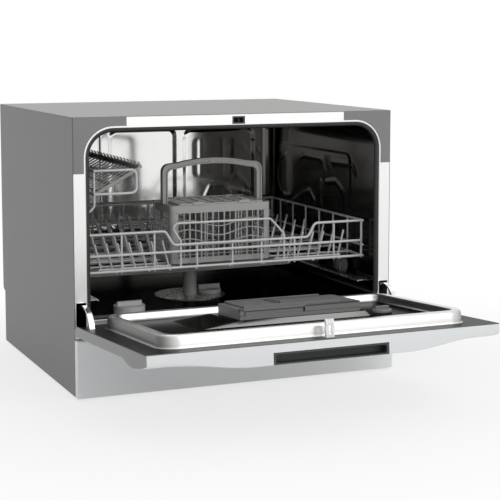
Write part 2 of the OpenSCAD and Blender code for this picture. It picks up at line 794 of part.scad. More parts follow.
tine_lean = 14;
row_pitch = (rack_d - 6) / 5;
tine_ys = [for (k = [0 : 4]) rack_y0 + 26 + k * row_pitch];
// Start, number of tines and lean of each row; the rows lean outwards
row_starts = [for (y = tine_ys) each
    [[-rack_half + 43.5, y, 6, -tine_lean], [rack_half - 135.5, y, 6, tine_lean]]];
back_rows = [for (k = [2 : 4]) [-4 * tine_pitch, tine_ys[k], 9, -tine_lean]];

module rack_tines() color(panel_light) seat() for (row = concat(row_starts, back_rows)) {
    z = rack_z + weld;
    rod([row[0] - 5, row[1], z], [row[0] + (row[2] - 1) * tine_pitch + 5, row[1], z], tine_r + 0.25);
    for (i = [0 : row[2] - 1]) rod([row[0] + i * tine_pitch, row[1], z],
        [row[0] + i * tine_pitch + tine_h * sin(row[3]), row[1], z + tine_h * cos(row[3])], tine_r);
}

/* Rollers */

wheel_x = rack_half - 3.9 - wheel_w / 2;
wheel_z = rail_z + 0.3 + wheel_r;
wheel_ys = [for (y = [70, 182, 338]) rack_y0 + y * rack_d / 376];
axle_r = 3;

module wheel_brackets() color(plastic_grey) seat() both_sides() for (y = wheel_ys) {
    // clip on the side wire, with the axle of the roller
    block([wheel_x - 6, y - 9, wheel_z - 8], [wheel_x - 2, y + 9, rack_z - wire_r]);
    block([wheel_x - 6, y - 9, rack_z - wire_r - 4], [rack_half + 1, y + 9, rack_z - wire_r]);
    translate([wheel_x - 3, y, wheel_z]) rotate([0, 90, 0]) cylinder(h = wheel_w + 4.5, r = axle_r);
    translate([wheel_x + wheel_w + 0.4, y, wheel_z]) rotate([0, 90, 0]) cylinder(h = 1.2, r = axle_r + 1.2);
}

// Spoked roller, at its place on the right
module wheel(y) translate([wheel_x, y, wheel_z]) rotate([0, 90, 0]) linear_extrude(wheel_w) difference() {
    circle(wheel_r);
    circle(axle_r + 0.08);
    difference() {
        circle(wheel_r - 3);
        circle(axle_r + 2.5);
        for (a = [15 : 60 : 135]) rotate(a) square([2 * wheel_r, 2.4], center = true);
    }
}

module wheel_front_left() color(plastic_grey) seat() mirror([1, 0, 0]) wheel(wheel_ys[0]);

module wheel_front_right() color(plastic_grey) seat() wheel(wheel_ys[0]);

module wheel_middle_left() color(plastic_grey) seat() mirror([1, 0, 0]) wheel(wheel_ys[1]);

module wheel_middle_right() color(plastic_grey) seat() wheel(wheel_ys[1]);

module wheel_rear_left() color(plastic_grey) seat() mirror([1, 0, 0]) wheel(wheel_ys[2]);

module wheel_rear_right() color(plastic_grey) seat() wheel(wheel_ys[2]);

/* Cup shelf */

shelf_y0 = rack_y0 + shelf_gap;
shelf_t = 4;
shelf_slats = 18;
hook_ys = [0.06, 0.26, 0.46, 0.7, 0.94];

// The shelf is drawn flat, with its hinge along y at the origin
module cup_shelf() color(plastic_grey) seat() translate([rail_x, shelf_y0, shelf_z]) rotate([0, -shelf_tilt, 0]) {
    pitch = (shelf_l - 9) / shelf_slats;
    translate([7, 0, -wire_r - gap - shelf_t]) linear_extrude(shelf_t) difference() {
        square([shelf_w - 7, shelf_l]);
        for (i = [0 : shelf_slats - 1]) translate([7, 6 + i * pitch]) square([shelf_w - 24, pitch - 5]);
    }
    // clips round the rail
    for (k = hook_ys) translate([0, k * shelf_l - 4, 0]) rotate([-90, 0, 0]) difference() {
        union() {
            cylinder(h = 8, r = wire_r + 3);
            translate([0, wire_r + gap, 0]) cube([9, shelf_t, 8]);
        }
        translate([0, 0, -1]) cylinder(h = 10, r = wire_r + 0.08);
        translate([-8, -wire_r + 0.4, -1]) cube([8, 2 * wire_r - 0.8, 10]);
    }
    // spikes along the free edge
    for (i = [0 : shelf_slats]) translate([shelf_w - 3, 1 + i * pitch, -wire_r - gap - 0.5]) cube([3, 2, 5.5]);
}

/* Cutlery basket */

cut_y0 = rack_y0 + 15;
cut_y1 = cut_y0 + cut_d;
cut_z0 = rack_z + weld + tine_r + gap;
cut_z1 = cut_z0 + cut_h;

basket_rim = 10;
basket_band = 13.2;
basket_bar = 2.4;

// Slots of a wall of the basket, n over its length, between its rims
module slots(length, height, n) {
    pitch = (length - 2 * basket_rim) / n;
    for (i = [0 : n - 1]) translate([basket_rim + i * pitch + basket_bar / 2, basket_band])
        square([pitch - basket_bar, height - 2 * basket_band]);
}

module cutlery_basket() color(plastic_grey) seat() translate([cut_x0, cut_y0, cut_z0]) {
    for (y = [0, cut_d - cut_t]) translate([0, y + cut_t, 0]) rotate([90, 0, 0]) linear_extrude(cut_t)
        difference() {
            square([cut_w, cut_h]);
            slots(cut_w, cut_h, 15);
        }
    for (x = [0, cut_w - cut_t]) translate([x, 0, 0]) rotate([90, 0, 90]) linear_extrude(cut_t)
        difference() {
            square([cut_d, cut_h]);
            slots(cut_d, cut_h, 7);
        }
    linear_extrude(cut_t) difference() {
        square([cut_w, cut_d]);
        slots(cut_w, cut_d, 12);
    }
    // dividers
    for (k = [1 : 2]) translate([k * cut_w / 3, 0, 0]) cube([cut_t, cut_d, cut_h - 12]);
}

lid_z = cut_z1 + gap;
lid_t = 2.4;
handle_y = (cut_y0 + cut_y1) / 2;
handle_w = 11;
lid_x0 = cut_x0 + handle_w + 3;
lid_x1 = cut_x1 - handle_w - 3;

module cutlery_lid() color(plastic_grey) seat() translate([lid_x0, cut_y0, lid_z]) {
    length = lid_x1 - lid_x0;
    linear_extrude(lid_t) difference() {
        square([length, cut_d]);
        for (i = [0 : 9], j = [0 : 3]) translate([6 + i * (length - 12) / 10 + 1.2, 6 + j * (cut_d - 12) / 4 + 1.4])
            square([(length - 12) / 10 - 2.4, (cut_d - 12) / 4 - 2.8]);
    }
    // finger tabs at the front edge
    for (x = [24, length - 44]) translate([x, -1.5, 0]) cube([20, 4, lid_t + 1.8]);
    translate([0, cut_d, lid_t / 2 + 0.6]) rotate([0, 90, 0]) cylinder(h = length, r = 2);
}

handle_top = cut_z0 + cut_handle;
// Radius of the crown of the handle
crown_r = 400;

// Arched handle, clipped to both ends of the basket
module cutlery_handle() color(plastic_grey) seat() standing(handle_y - 6, handle_y + 6) difference() {
    union() {
        round_rect(cut_x0, cut_z1 - 30, cut_x1, handle_top - 4, 16);
        translate([(cut_x0 + cut_x1) / 2, handle_top - crown_r]) intersection() {
            circle(crown_r);
            translate([-cut_w / 2 + 16, crown_r - 20]) square([cut_w - 32, 30]);
        }
    }
    round_rect(cut_x0 + handle_w, cut_z0 - 40, cut_x1 - handle_w, handle_top - 14, 8);
    translate([cut_x0 - 1, cut_z0 - 60]) square([cut_w + 2, cut_z1 + 60 - cut_z0]);
}

/* Water parts */

sump_z0 = foot_h + base_wall;

module sump() color(dark) seat() translate([0, sump_y, 0]) difference() {
    union() {
        translate([0, 0, sump_z0]) cylinder(h = tub_low - tub_t - sump_z0, r = sump_r - 6);
        translate([0, 0, tub_low - tub_t - 4]) cylinder(h = 4, r = sump_r + 8);
    }
    translate([0, 0, sump_z0 + 12]) cylinder(h = tub_low, r = sump_r - 9);
}

filter_x = 36;
filter_r = 15;

module coarse_filter() color(steel) seat() translate([0, sump_y, tub_low - tub_t]) difference() {
    cylinder(h = 2.4, r = sump_r);
    translate([filter_x, 0, -1]) cylinder(h = 5, r = filter_r + gap);
    for (r = [30, 42, 54], a = [0 : 24 : 336]) if (norm([r * cos(a) - filter_x, r * sin(a)]) > 21)
        translate([r * cos(a), r * sin(a), -1]) cylinder(h = 5, r = 2.5);
    translate([0, 0, -1]) cylinder(h = 5, r = 5);
}

module filter_cup() color(plastic_grey) seat() translate([filter_x, sump_y, 0]) {
    difference() {
        union() {
            translate([0, 0, tub_low - 60]) cylinder(h = 64, r = filter_r);
            translate([0, 0, tub_low + 1.6]) cylinder(h = 7, r = filter_r + 6);
        }
        translate([0, 0, tub_low - 58]) cylinder(h = 80, r = filter_r - 2);
    }
    // bar to turn it by
    translate([-filter_r - 5, -2.5, tub_low + 8]) cube([2 * filter_r + 10, 5, 8]);
}

module salt_cap() color("#d8d8d6") seat() translate([salt_x, salt_y, 0]) {
    translate([0, 0, tub_low - 12]) cylinder(h = 13, r = salt_r - 5);
    translate([0, 0, tub_low + gap]) cylinder(h = 12, r = salt_r);
    translate([-salt_r + 5, -2.5, tub_low + 12]) cube([2 * salt_r - 10, 5, 7]);
}

module water_softener() color(panel_light) seat() difference() {
    union() {
        block([-body_half + 60, 60, foot_h + base_wall], [-sump_r - 14, body_d - 130, base_top - 6]);
        translate([salt_x, salt_y, base_top - 7]) cylinder(h = tub_low - tub_t - base_top + 7, r = salt_r - 1);
    }
    translate([salt_x, salt_y, 30]) cylinder(h = 90, r = salt_r - 4.9);
}

hub_r0 = 16;
spray_z = 152;

module spray_hub() color(plastic_grey) seat() translate([0, sump_y, 0]) {
    translate([0, 0, tub_low + 1.2]) cylinder(h = spray_z - tub_low - 1.2, r = 12);
    translate([0, 0, tub_low + 1.2]) cylinder(h = 3, r = hub_r0 - 4);
    translate([0, 0, tub_low - 20]) cylinder(h = 22, r = 4.7);
    translate([0, 0, spray_z - 1]) cylinder(h = 13, r = 6);
}

module spray_arm() color("#bdbdba") seat() translate([0, sump_y, spray_z + gap]) difference() {
    union() {
        linear_extrude(11) hull() {
            circle(spray_w / 2);
            for (s = [-1, 1]) translate([s * (spray_l / 2 - 12), 0]) circle(12);
        }
        cylinder(h = 15, r = hub_r0);
    }
    translate([0, 0, -1]) cylinder(h = 13.2, r = 6.1);
    for (x = [-170 : 34 : 170]) if (abs(x) > 30) translate([x, 3, 5]) cylinder(h = 12, r = 1.6);
}

pump_r = 26;
drain_pump_r = 22;
pump_z = sump_z0 + pump_r + gap;
drain_pump_z = sump_z0 + drain_pump_r + gap;
drain_pump_at = [60, 320];
drain_turn = atan2(drain_pump_at[0], drain_pump_at[1] - sump_y);

module wash_pump() color("#8d8f90") seat() translate([0, sump_y, pump_z]) rotate([0, 90, 0]) {
    translate([0, 0, 95]) cylinder(h = 95, r = pump_r);
    translate([0, 0, sump_r - 8]) cylinder(h = 44, r = 14);
}

module drain_pump() color("#8d8f90") seat() {
    translate([drain_pump_at[0], drain_pump_at[1], drain_pump_z]) rotate([0, 90, 0])
        cylinder(h = 62, r = drain_pump_r);
    translate([0, sump_y, drain_pump_z]) rotate([-90, 0, -drain_turn])
        translate([0, 0, sump_r - 8]) cylinder(h = 70, r = 8);
}

// Stub through the back: narrow inside the wall, full size behind it
module stub(x, r, bore, inside, out) translate([x, 0, port_z]) rotate([-90, 0, 0]) difference() {
    union() {
        translate([0, 0, base_back - inside]) cylinder(h = inside + 3, r = r - 1);
        translate([0, 0, low_back + gap]) cylinder(h = out, r = r);
    }
    translate([0, 0, base_back - 2]) cylinder(h = 60, r = bore);
}

inner_back = base_back - base_wall - gap;

module inlet_valve() color("#e4e4e2") seat() {
    block([inlet_x - 20, inner_back - 56, sump_z0], [inlet_x + 20, inner_back, port_z + 14]);
    stub(inlet_x, inlet_r, inlet_r - 4, 8, 11.5);
}

module drain_spigot() color(dark) seat() {
    stub(drain_x, drain_r, drain_r - 3, 20, 10);
    translate([drain_x, inner_back - 3, port_z]) rotate([-90, 0, 0]) cylinder(h = 3, r = drain_r + 5);
}

module cable_gland() color(dark) seat() {
    stub(gland_x, gland_r, gland_r - 5, 12, 6);
    translate([gland_x, inner_back - 3, port_z]) rotate([-90, 0, 0]) cylinder(h = 3, r = gland_r + 4);
}

side_panel_left();
side_panel_right();
top_panel();
back_panel();
base_pan();
feet();
kick_plate();
front_frame();
corner_plates();
latch_striker();
tub_shell();
tub_floor();
door_seal();
basket_rails();
hinge_brackets();
hinge_springs();
sump();
wash_pump();
drain_pump();
water_softener();
inlet_valve();
drain_spigot();
cable_gland();
coarse_filter();
spray_hub();
filter_cup();
salt_cap();
spray_arm();
door_panel();
control_panel();
grip_insert();
door_liner();
latch_hook();
dispenser_body();
dispenser_lid();
rinse_cap();
hinge_arms();
display_window();
control_board();
button_power();
button_program();
button_start();
rack_front();
rack_left();
rack_right();
rack_back();
rack_floor();
rack_tines();
cup_rail();
wheel_brackets();
wheel_front_left();
wheel_front_right();
wheel_middle_left();
wheel_middle_right();
wheel_rear_left();
wheel_rear_right();
cup_shelf();
cutlery_basket();
cutlery_lid();
cutlery_handle();
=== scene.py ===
# Countertop dishwasher with its door open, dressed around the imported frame.
import bpy, bmesh
from math import copysign, cos, dist, pi, radians, sin, tan
import numpy as np
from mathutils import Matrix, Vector
from mathutils.geometry import tessellate_polygon


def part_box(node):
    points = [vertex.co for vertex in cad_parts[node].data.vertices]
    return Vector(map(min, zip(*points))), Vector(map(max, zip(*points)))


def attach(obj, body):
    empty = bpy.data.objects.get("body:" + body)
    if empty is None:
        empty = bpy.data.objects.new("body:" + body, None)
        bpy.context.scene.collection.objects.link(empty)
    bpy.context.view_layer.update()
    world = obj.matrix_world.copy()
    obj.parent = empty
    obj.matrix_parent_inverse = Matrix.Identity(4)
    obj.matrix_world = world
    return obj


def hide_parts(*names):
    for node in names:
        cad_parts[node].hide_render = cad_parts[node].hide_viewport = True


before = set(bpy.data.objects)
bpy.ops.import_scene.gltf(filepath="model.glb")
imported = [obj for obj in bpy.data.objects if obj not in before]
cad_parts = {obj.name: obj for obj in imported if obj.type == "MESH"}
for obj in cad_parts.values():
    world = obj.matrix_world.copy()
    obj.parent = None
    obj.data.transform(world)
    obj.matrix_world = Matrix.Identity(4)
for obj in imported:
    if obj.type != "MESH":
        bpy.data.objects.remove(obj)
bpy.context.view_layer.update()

# Depth of the front frame's face in the row frame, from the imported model
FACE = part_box("front_frame")[0].y
# Axis of the door's hinge in mm, and how far the open door tips up from level
PIVOT_Y, PIVOT_Z = -11.0, 107.5
TILT = radians(4.0)


def cabinet_point(x, y, z):
    """A point measured in mm from the front frame's face."""
    return Vector((x / 1000, y / 1000 + FACE, z / 1000))


def door_point(x, w, u):
    """A point of the closed door, w inwards and u upwards from the hinge axis, where the open door has it."""
    return cabinet_point(x, PIVOT_Y - u * cos(TILT) + w * sin(TILT),
                         PIVOT_Z + u * sin(TILT) + w * cos(TILT))


def new_object(name, data):
    o = bpy.data.objects.new(name, data)
    bpy.context.scene.collection.objects.link(o)
    return o


def aim(o, direction):
    o.rotation_mode = "QUATERNION"
    o.rotation_quaternion = direction.to_track_quat("-Z", "Y")


# Camera at the photograph's place, worked out from the cabinet's edges

SENSOR, FOCAL_PX, PHOTO_PX = 36.0, 1428.0, 500
YAW, PITCH = radians(23.09), radians(6.18)
cam_data = bpy.data.cameras.new("camera")
cam = new_object("camera", cam_data)
bpy.context.scene.camera = cam
cam_data.sensor_width = SENSOR
cam_data.lens = FOCAL_PX / PHOTO_PX * SENSOR
cam_data.shift_y = -0.12
cam_data.clip_start, cam_data.clip_end = 0.1, 20
cam.location = cabinet_point(-877, -2103, 562)
aim(cam, Vector((sin(YAW) * cos(PITCH), cos(YAW) * cos(PITCH), -sin(PITCH))))


# Materials

def node(tree, kind, inputs={}, out=0, **settings):
    """Adds a shader node, with values or other nodes' outputs for its inputs, and gives its output."""
    made = tree.nodes.new("ShaderNode" + kind)
    for key, value in settings.items():
        setattr(made, key, value)
    for key, value in inputs.items():
        if isinstance(value, bpy.types.NodeSocket):
            tree.links.new(value, made.inputs[key])
        else:
            made.inputs[key].default_value = value
    return made.outputs[out] if made.outputs else None


def new_material(name):
    m = bpy.data.materials.new(name)
    m.use_nodes = True
    m.node_tree.nodes.clear()
    return m, m.node_tree


def rgba(color, share):
    return (*[min(1, c * share) for c in color], 1)


def mix(tree, share, color0, color1):
    return node(tree, "Mix", {0: share, 6: color0, 7: color1}, 2, data_type="RGBA")


SLOW_SCALE, BUMP_DEPTH, COAT_ROUGH = 18.0, 0.0002, 0.15


def surface(name, color, rough, metal=0.0, bump=0.0, scale=400.0, stretch=(1, 1, 1), vary=0.04,
            rough_vary=0.05, coat=0.0, edge=1.0, ends=1.0):
    """A shader with fine bump, slow colour variation and uneven roughness. edge tints grazing
    reflections, and ends darkens faces that look left or right as painted shade."""
    m, tree = new_material(name)
    coords = node(tree, "TexCoord", out="Object")
    slow = node(tree, "TexNoise", {"Vector": coords, "Scale": SLOW_SCALE, "Detail": 4}, "Fac")
    shade = mix(tree, slow, rgba(color, 1 - vary), rgba(color, 1 + vary))
    # painted shade: faces that look left or right are darkened towards ends times the colour
    if ends < 1:
        sideways = node(tree, "SeparateXYZ", {0: node(tree, "NewGeometry", out="Normal")})
        size = node(tree, "Math", {0: sideways}, operation="ABSOLUTE")
        turn = node(tree, "MapRange", {"Value": size, "From Min": 0.25, "From Max": 0.95},
                    interpolation_type="SMOOTHSTEP")
        shade = mix(tree, turn, shade, rgba(color, ends))
    grain = node(tree, "Mapping", {"Vector": coords, "Scale": stretch})
    fine = node(tree, "TexNoise", {"Vector": grain, "Scale": scale, "Detail": 3}, "Fac")
    uneven = node(tree, "MapRange", {"Value": fine, "To Min": max(0.02, rough - rough_vary),
                                     "To Max": rough + rough_vary})
    inputs = {"Base Color": shade, "Roughness": uneven, "Metallic": metal, "Specular IOR Level": 0.5,
              "Coat Weight": coat, "Coat Roughness": COAT_ROUGH, "Specular Tint": (edge, edge, edge, 1)}
    if bump:
        inputs["Normal"] = node(tree, "Bump", {"Height": fine, "Strength": bump, "Distance": BUMP_DEPTH})
    node(tree, "OutputMaterial", {0: node(tree, "BsdfPrincipled", inputs)})
    return m


def polished(name, color, rough, **more):
    return surface(name, color, rough, metal=1.0, bump=0.03, scale=60, vary=0.05, rough_vary=0.03, **more)


def moulded(name, color, rough, bump, vary, scale=1500):
    return surface(name, color, rough, bump=bump, scale=scale, vary=vary)


# The sides and back share the top's grey paint, set darker here as painted shade
side_paint_painted_shade = surface("side_paint_painted_shade", (0.142, 0.143, 0.141), 0.42, bump=0.12, scale=900, vary=0.03)
top_paint = surface("top_paint", (0.235, 0.235, 0.226), 0.40, bump=0.12, scale=900, vary=0.03)
corner_paint = surface("corner_paint", (0.205, 0.206, 0.208), 0.38, bump=0.1, scale=900, vary=0.03)
# The kick panel's paint is the door's pale grey set lighter, as painted light against the door's shadow over
# it
kick_paint_painted_light = surface("kick_paint_painted_light", (0.86, 0.87, 0.87), 0.34, metal=0.1, bump=0.06, scale=1200, vary=0.02)
# ends=0.16 darkens the door's left and right end faces as painted shade
light_paint = surface("light_paint", (0.76, 0.775, 0.775), 0.30, metal=0.1, ends=0.16, bump=0.06, scale=1200,
                      vary=0.02, coat=0.25)
frame_steel = surface("frame_steel", (0.82, 0.82, 0.81), 0.34, metal=0.85, bump=0.03, scale=300,
                      stretch=(1, 1, 14), vary=0.02)
lip_steel = surface("lip_steel", (0.55, 0.55, 0.545), 0.22, metal=1.0, bump=0.04, scale=300, vary=0.02)
# The tub's stainless steel, its colour and grazing reflections darkened as painted shade of the tub's inside
tub_steel_painted_shade = polished("tub_steel_painted_shade", (0.11, 0.108, 0.105), 0.13, edge=0.2)
back_steel = polished("back_steel", (0.84, 0.835, 0.825), 0.1)
# Steel of the tub's floor and the door's pan, darkened as painted shade and painted reflection of the dark
# tub
pan_steel_painted_shade = polished("pan_steel_painted_shade", (0.27, 0.267, 0.26), 0.16, edge=0.15)
# The liner's flange steel, darkened as painted shade of the gap between rim and panel
flange_steel_painted_shade = surface("flange_steel_painted_shade", (0.15, 0.15, 0.148), 0.3, metal=1.0, bump=0.03, scale=260, edge=0.4)
# ends=0.2 darkens the rim's left and right faces as painted shade
liner_steel = surface("liner_steel", (0.66, 0.66, 0.65), 0.3, metal=1.0, ends=0.2, scale=260,
                      stretch=(1, 12, 12), vary=0.03, rough_vary=0.03)
plain_steel = surface("plain_steel", (0.62, 0.62, 0.61), 0.28, metal=1.0, bump=0.05, scale=200)
arm_steel = surface("arm_steel", (0.78, 0.78, 0.77), 0.22, metal=1.0, bump=0.06, scale=240, vary=0.03)
spring_steel = surface("spring_steel", (0.40, 0.40, 0.39), 0.32, metal=1.0, bump=0.06, scale=240, vary=0.05)
grey_plastic = moulded("grey_plastic", (0.36, 0.36, 0.35), 0.42, 0.08, 0.03)
roller_plastic = moulded("roller_plastic", (0.12, 0.12, 0.119), 0.42, 0.08, 0.05)
dispenser_plastic = moulded("dispenser_plastic", (0.17, 0.17, 0.168), 0.4, 0.1, 0.04, 1400)
pale_plastic = moulded("pale_plastic", (0.60, 0.60, 0.59), 0.4, 0.06, 0.02)
white_plastic = moulded("white_plastic", (0.85, 0.85, 0.84), 0.32, 0.05, 0.02)
dark_plastic = moulded("dark_plastic", (0.045, 0.047, 0.048), 0.45, 0.1, 0.05)
grip_plastic = moulded("grip_plastic", (0.035, 0.04, 0.04), 0.5, 0.14, 0.05, 1200)
striker_plastic = moulded("striker_plastic", (0.07, 0.07, 0.07), 0.42, 0.1, 0.05)
button_plastic = moulded("button_plastic", (0.05, 0.052, 0.054), 0.35, 0.08, 0.04)
pump_plastic = moulded("pump_plastic", (0.26, 0.27, 0.27), 0.5, 0.1, 0.04, 900)
rubber = moulded("rubber", (0.018, 0.018, 0.018), 0.55, 0.15, 0.08, 900)
wire_coat = surface("wire_coat", (0.6, 0.6, 0.59), 0.34, bump=0.05, scale=900, vary=0.03, coat=0.15)
black_gloss = surface("black_gloss", (0.012, 0.012, 0.013), 0.08, scale=300, vary=0.02, rough_vary=0.02)
green_board = surface("green_board", (0.03, 0.14, 0.06), 0.4, bump=0.2, scale=500, vary=0.1)

# The material of each solid that no piece replaces; the tub's floor gets steel darkened as painted shade
FINISH_AND_PAINTED_SHADE = {
    pan_steel_painted_shade: ["tub_floor"],
    plain_steel: ["coarse_filter", "hinge_brackets"],
    spring_steel: ["hinge_springs"],
    arm_steel: ["hinge_arms"],
    dark_plastic: ["base_pan", "feet", "sump", "drain_spigot", "cable_gland"],
    pump_plastic: ["wash_pump", "drain_pump"],
    pale_plastic: ["water_softener", "inlet_valve", "salt_cap"],
    grey_plastic: ["spray_hub", "spray_arm", "filter_cup"],
    green_board: ["control_board"],
}
for mat, names in FINISH_AND_PAINTED_SHADE.items():
    for name in names:
        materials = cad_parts[name].data.materials
        materials.clear()
        materials.append(mat)


# Shapes, drawn in mm and then placed

# From two drawn coordinates and a height along an axis to x, y and z
ALONG = {"z": lambda a, b, h: (a, b, h), "y": lambda a, b, h: (a, h, b), "x": lambda a, b, h: (h, a, b)}
# Domed end of a wire: how far out and how wide, as shares of its radius
DOME = ((0.97, 0.25), (0.75, 0.66), (0.4, 0.92))


def turns(n, way=1):
    """Angles of a whole turn in n steps."""
    return [way * 2 * pi * k / n for k in range(n)]


class Shape:
    """Vertices and faces that become one piece."""

    def __init__(self, place=cabinet_point):
        self.v, self.f, self.place = [], [], place

    def add(self, verts, faces):
        n = len(self.v)
        self.v += [Vector(p) for p in verts]
        self.f += [[n + i for i in f] for f in faces]

    def box(self, a, b):
        (x0, y0, z0), (x1, y1, z1) = a, b
        self.add([(x0, y0, z0), (x1, y0, z0), (x1, y1, z0), (x0, y1, z0),
                  (x0, y0, z1), (x1, y0, z1), (x1, y1, z1), (x0, y1, z1)],
                 [(3, 2, 1, 0), (4, 5, 6, 7), (0, 1, 5, 4), (1, 2, 6, 5), (2, 3, 7, 6), (3, 0, 4, 7)])

    def loft(self, rings, cap0=True, cap1=True):
        """Skin through rings of the same number of points."""
        n = len(rings[0])
        faces = []
        for k in range(len(rings) - 1):
            for i in range(n):
                j = (i + 1) % n
                faces.append((k * n + i, k * n + j, (k + 1) * n + j, (k + 1) * n + i))
        if cap0:
            faces.append(list(range(n))[::-1])
        if cap1:
            faces.append([(len(rings) - 1) * n + i for i in range(n)])
        self.add([p for r in rings for p in r], faces)

    def skin(self, rings):
        """Loft with open ends."""
        self.loft(rings, cap0=False, cap1=False)

    def prism(self, outline, lo, hi, axis="z"):
        """Outline in the two other axes, drawn out along axis."""
        if axis == "y":
            lo, hi = hi, lo
        self.loft([[ALONG[axis](a, b, h) for a, b in outline] for h in (lo, hi)])

    def plate(self, outer, holes, lo, hi, axis="z"):
        """Prism with holes in it."""
        loops = [outer] + holes
        flat = [p for loop in loops for p in loop]
        tris = tessellate_polygon([[Vector((a, b, 0)) for a, b in loop] for loop in loops])
        n = len(flat)
        faces = [tuple(t) for t in tris] + [tuple(n + i for i in t[::-1]) for t in tris]
        k = 0
        for loop in loops:
            m = len(loop)
            faces += [(k + i, k + (i + 1) % m, n + k + (i + 1) % m, n + k + i) for i in range(m)]
            k += m
        self.add([ALONG[axis](a, b, h) for h in (lo, hi) for a, b in flat], faces)

    def tube(self, points, r, sides=12, tips=False):
        """Round rod along a path, with domed tips if asked."""
        pts = [Vector(points[0])]
        for p in points[1:]:
            if (Vector(p) - pts[-1]).length > 1e-4:
                pts.append(Vector(p))
        n = len(pts)
        dirs = [(pts[min(i + 1, n - 1)] - pts[max(i - 1, 0)]).normalized() for i in range(n)]
        stations = [(pts[i], dirs[i], r) for i in range(n)]
        if tips:
            d0, d1 = dirs[0], dirs[-1]
            stations = ([(pts[0] - d0 * r * out, d0, r * wide) for out, wide in DOME] + stations
                        + [(pts[-1] + d1 * r * out, d1, r * wide) for out, wide in DOME[::-1]])
        up = dirs[0].orthogonal().normalized()
        rings = []
        for p, d, radius in stations:
            up = (up - d * up.dot(d)).normalized()
            side = d.cross(up)
            rings.append([p + radius * (cos(t) * up + sin(t) * side) for t in turns(sides)])
        self.loft(rings)

    def wire(self, points, r):
        self.tube(points, r, tips=True)

    def turned(self, profile, at, axis="z", sides=48, closed=False):
        """Profile of radius and height, turned round an axis through a point."""
        order = {"z": (0, 1, 2), "y": (1, 2, 0), "x": (2, 0, 1)}[axis]
        rings = [[[c + (r * cos(t), r * sin(t), h)[i] for c, i in zip(at, order)]
                  for t in turns(sides)] for r, h in profile + profile[:closed]]
        self.loft(rings, cap0=not closed, cap1=not closed)

    def solid(self, name):
        """The shape as an object, its faces turned outwards."""
        me = bpy.data.meshes.new(name)
        me.from_pydata([self.place(*p) for p in self.v], [], self.f)
        bm = bmesh.new()
        bm.from_mesh(me)
        bmesh.ops.recalc_face_normals(bm, faces=bm.faces)
        bm.to_mesh(me)
        bm.free()
        return new_object(name, me)

    def make(self, name, mat, body, nodes=(), slot=None, bevel=0.0, segs=2, angle=35):
        """The shape as a piece on a body, in place of nodes."""
        o = self.solid(name)
        o.data.materials.append(mat)
        smooth(o.data, angle)
        if bevel:
            m = o.modifiers.new("bevel", "BEVEL")
            m.width, m.segments = bevel / 1000, segs
            m.limit_method, m.angle_limit = "ANGLE", radians(angle)
        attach(o, body)
        if nodes:
            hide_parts(*nodes)
        return o


def smooth(mesh, angle):
    mesh.shade_smooth()
    mesh.set_sharp_from_angle(angle=radians(angle))


def cut(o, shape):
    tool = shape.solid("cutter")
    m = o.modifiers.new("cut", "BOOLEAN")
    m.object, m.operation, m.solver, m.use_self = tool, "DIFFERENCE", "EXACT", True
    bpy.context.view_layer.update()
    done = bpy.data.meshes.new_from_object(o.evaluated_get(bpy.context.evaluated_depsgraph_get()))
    o.modifiers.clear()
    done.name = o.data.name + "_cut"
    o.data = done
    smooth(o.data, 32)
    bpy.data.objects.remove(tool)


# Outlines

def span(side, a, b):
    """Low and high x on the left (-1) or the right (1)."""
    return sorted((side * a, side * b))


def arc(cx, cy, r, a0, a1, n):
    return [(cx + r * cos(radians(a0 + (a1 - a0) * k / n)),
             cy + r * sin(radians(a0 + (a1 - a0) * k / n))) for k in range(n + 1)]


def round_rect(x0, y0, x1, y1, r, n=8):
    """Anticlockwise from the lower right corner."""
    return (arc(x1 - r, y0 + r, r, -90, 0, n) + arc(x1 - r, y1 - r, r, 0, 90, n)
            + arc(x0 + r, y1 - r, r, 90, 180, n) + arc(x0 + r, y0 + r, r, 180, 270, n))


def round_hole(*args):
    return round_rect(*args)[::-1]


def window(x0, x1, y0, y1):
    """Rectangle for a hole, clockwise."""
    return [(x0, y0), (x0, y1), (x1, y1), (x1, y0)]


def fillet(points, bend, steps=7):
    """Path with its corners rounded."""
    pts = [Vector(p) for p in points]
    out = [pts[0]]
    for i in range(1, len(pts) - 1):
        a, p, c = pts[i - 1], pts[i], pts[i + 1]
        u, v = (a - p).normalized(), (c - p).normalized()
        ang = u.angle(v)
        if ang > pi - 0.02:
            out.append(p)
            continue
        b = bend[i] if isinstance(bend, list) else bend
        reach = min(b / tan(ang / 2), 0.48 * (a - p).length, 0.48 * (c - p).length)
        r = reach * tan(ang / 2)
        centre = p + (u + v).normalized() * (r / sin(ang / 2))
        e1 = (p + u * reach - centre).normalized()
        e2 = (p + v * reach - centre)
        e2 = (e2 - e1 * e2.dot(e1)).normalized()
        turn = pi - ang
        out += [centre + r * (cos(turn * k / steps) * e1 + sin(turn * k / steps) * e2)
                for k in range(steps + 1)]
    out.append(pts[-1])
    return out


# Cabinet

HALF_W, BODY_H, BODY_D, SHEET, FOOT_Z = 275.0, 438.0, 470.0, 1.2, 3
INNER_W, INNER_H, BACK_W = HALF_W - SHEET, BODY_H - SHEET, 273.6
# The rear is stepped in below its ledge
STEP_Y, LEDGE_Z, LEDGE_R = 457, 96, 10
LEDGE_Y = BODY_D - LEDGE_R
LEDGE = [(STEP_Y, LEDGE_Z), (LEDGE_Y, LEDGE_Z)] + arc(LEDGE_Y, LEDGE_Z + LEDGE_R, LEDGE_R, -90, 0, 6)
# Opening of the tub: half its width, its lower and upper edge, and its corner radii
OPEN_W, OPEN_LOW, OPEN_TOP, LOW_R, TOP_R = 254.0, 122.0, 420.0, 12.0, 45.0


